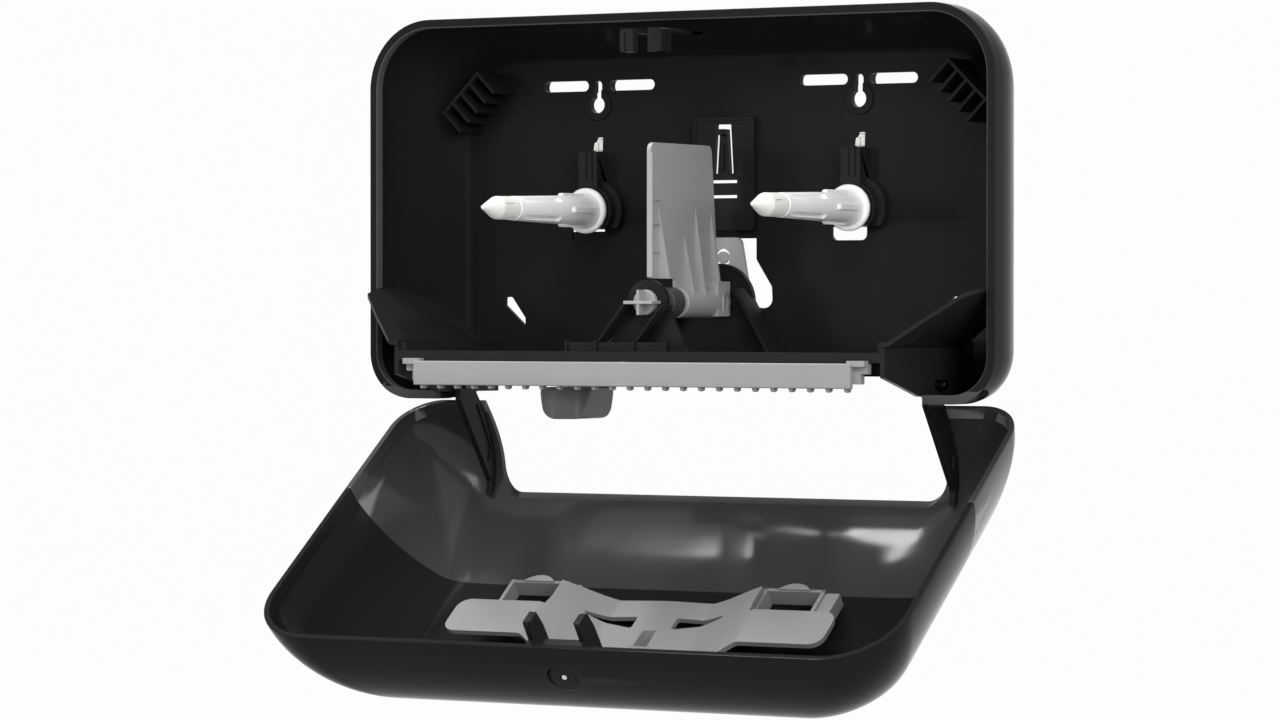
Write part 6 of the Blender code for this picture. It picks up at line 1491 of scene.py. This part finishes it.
SWEEP_WIDTH = 12.0
SWEEP_LENGTH = 13.0
SWEEP_CELLS = 40
SWEEP_FRONT = -4.0
FLOOR_LEVEL = -0.46
BEND_START = 3.0
BEND_RADIUS = 1.6
BACKDROP_GLOW = 0.97
BACKDROP_GREYS = (0.46, 0.46, 0.46, 1.0), (0.5, 0.5, 0.5, 1.0)
WORLD_FILL = 0.6
PURE_WHITE = (1.0, 1.0, 1.0, 1.0)
PART_MIDDLE = (0.0, -0.05, -0.05)
STRIP_TURN = (0.0, -0.48, 0.0)
CAMERA_PLACE = (1.10117, -2.04261, -0.04843)
CAMERA_TURN = (math.pi / 2 - 0.0116, 0.0, 0.51487)
CAMERA_LENS = 129.83
SENSOR_WIDTH = 36.0
CLIP_NEAR, CLIP_FAR = 0.05, 60.0


class DISPENSER_OT_stage(DispenserOperator, bpy.types.Operator):
    """Sets up the pale floor and backdrop, the soft lamps and the camera"""

    bl_idname = "dispenser.stage"
    bl_label = "Stage"

    def pale(self, name, white):
        """A pale material that glows for the rays that see it."""
        made, tree, shader, start = new_material(name, Roughness=0.9)
        where = start.node("ShaderNodeTexCoord", output=OBJECT_PLACE)
        grain = start.node("ShaderNodeTexNoise", Vector=where, Scale=40.0, Detail=3.0)
        tree.links.new(grain.blend(*BACKDROP_GREYS).socket, shader.inputs["Base Color"])
        seen = start.seen() * white
        glow = start.node("ShaderNodeEmission", Color=PURE_WHITE, Strength=1.0)
        mix = tree.nodes.new("ShaderNodeMixShader")
        tree.links.new(seen.socket, mix.inputs[0])
        tree.links.new(shader.outputs[0], mix.inputs[1])
        tree.links.new(glow.socket, mix.inputs[2])
        tree.links.new(mix.outputs[0], tree.nodes["Material Output"].inputs["Surface"])
        return made

    def lamp(self, name, place_at, aim, size, height, power, mirrored=True):
        """An area lamp, aimed at a point."""
        deselect()
        bpy.ops.object.light_add(type="AREA", location=place_at)
        lamp = bpy.context.object
        lamp.name = name
        lamp.data.shape = "RECTANGLE"
        lamp.data.size = size
        lamp.data.size_y = height
        lamp.data.energy = power
        lamp.rotation_euler = (Vector(aim) - Vector(place_at)).to_track_quat("-Z", "Y").to_euler()
        lamp.visible_glossy = mirrored
        return lamp

    def execute(self, context):
        deselect()
        bpy.ops.mesh.primitive_grid_add(x_subdivisions=SWEEP_CELLS, y_subdivisions=SWEEP_CELLS, size=1.0)
        sweep = bpy.context.object
        sweep.name = "studio_sweep"
        for vert in sweep.data.vertices:
            across, along = vert.co.x * SWEEP_WIDTH, (vert.co.y + 0.5) * SWEEP_LENGTH
            y, z = SWEEP_FRONT + along, FLOOR_LEVEL
            if y > BEND_START:
                bend = min((y - BEND_START) / BEND_RADIUS, math.pi / 2)
                climb = max(along - (BEND_START - SWEEP_FRONT) - BEND_RADIUS * math.pi / 2, 0.0)
                y = BEND_START + BEND_RADIUS * math.sin(bend)
                z = FLOOR_LEVEL + BEND_RADIUS * (1 - math.cos(bend)) + climb
            vert.co = (across, y, z)
        choose(sweep)
        bpy.ops.object.shade_smooth()
        sweep.data.materials.append(self.pale("studio_white", BACKDROP_GLOW))

        world = bpy.context.scene.world or bpy.data.worlds.new("studio")
        bpy.context.scene.world = world
        world.use_nodes = True
        tree = world.node_tree
        tree.nodes.clear()
        start = Wire(tree)
        strength = start.seen() * (1.0 - WORLD_FILL) + WORLD_FILL
        background = start.node("ShaderNodeBackground", Color=PURE_WHITE, Strength=strength)
        output = tree.nodes.new("ShaderNodeOutputWorld")
        tree.links.new(background.socket, output.inputs["Surface"])

        self.lamp("overhead_box", (0.05, -0.3, 1.6), (0.0, -0.1, -0.05), 1.2, 0.9, 6.0, mirrored=False)
        self.lamp("right_box", (2.0, -1.7, 0.5), PART_MIDDLE, 1.0, 1.2, 32.0, mirrored=False)
        self.lamp("front_box", (0.4, -2.2, 1.3), PART_MIDDLE, 1.0, 0.7, 20.0)
        strip = self.lamp("high_strip", (-0.8, -0.5, 1.5), (0.0, -0.05, -0.1), 0.2, 1.0, 20.0)
        strip.rotation_euler = STRIP_TURN
        self.lamp("left_card", (-0.88, -2.04, -0.1), (0.1, 0.0, 0.0), 0.27, 0.8, 1.1)

        deselect()
        bpy.ops.object.camera_add(location=CAMERA_PLACE, rotation=CAMERA_TURN)
        camera = bpy.context.object
        camera.name = "photo_view"
        camera.data.lens = CAMERA_LENS
        camera.data.sensor_width = SENSOR_WIDTH
        camera.data.clip_start = CLIP_NEAR
        camera.data.clip_end = CLIP_FAR
        bpy.context.scene.camera = camera
        bpy.context.scene.view_settings.view_transform = "Standard"
        return {"FINISHED"}


class DISPENSER_PT_parts(bpy.types.Panel):
    """Lists the dispenser's sizes, colours and pieces"""

    bl_idname = "DISPENSER_PT_parts"
    bl_label = "Double Roll Dispenser"
    bl_space_type = "VIEW_3D"
    bl_region_type = "UI"
    bl_category = "Dispenser"

    def draw(self, context):
        scene = context.scene
        for title, props in (("Housing", scene.dispenser_housing), ("Rolls", scene.dispenser_rolls),
                             ("Cover", scene.dispenser_cover), ("Colours", scene.dispenser_colours)):
            box = self.layout.box()
            box.label(text=title)
            for key in props.__annotations__:
                box.prop(props, key)
        column = self.layout.column(align=True)
        for operator in PIECES:
            column.operator(operator.bl_idname)


PIECES = (
    DISPENSER_OT_base_housing,
    DISPENSER_OT_chute_frame,
    DISPENSER_OT_tear_bar,
    DISPENSER_OT_centre_panel,
    DISPENSER_OT_latch_catch,
    DISPENSER_OT_brackets,
    DISPENSER_OT_flap,
    DISPENSER_OT_selector_lever,
    DISPENSER_OT_hub_rings,
    DISPENSER_OT_spindles,
    DISPENSER_OT_cover,
    DISPENSER_OT_hinges,
    DISPENSER_OT_roll_guide_plate,
    DISPENSER_OT_lock,
    DISPENSER_OT_stage,
)
GROUPS = (
    ("dispenser_housing", DispenserHousingSizes),
    ("dispenser_rolls", DispenserRollSizes),
    ("dispenser_cover", DispenserCoverSizes),
    ("dispenser_colours", DispenserColours),
)


def register():
    for key, group in GROUPS:
        bpy.utils.register_class(group)
        setattr(bpy.types.Scene, key, PointerProperty(type=group))
    for operator in PIECES:
        bpy.utils.register_class(operator)
    bpy.utils.register_class(DISPENSER_PT_parts)


def unregister():
    bpy.utils.unregister_class(DISPENSER_PT_parts)
    for operator in reversed(PIECES):
        bpy.utils.unregister_class(operator)
    for key, group in reversed(GROUPS):
        delattr(bpy.types.Scene, key)
        bpy.utils.unregister_class(group)


def main():
    register()
    for operator in PIECES:
        call = getattr(bpy.ops.dispenser, operator.bl_idname.split(".")[1])
        if call() != {"FINISHED"}:
            raise RuntimeError(f"{operator.bl_label} could not be built")
    deselect()


if __name__ == "__main__":
    main()
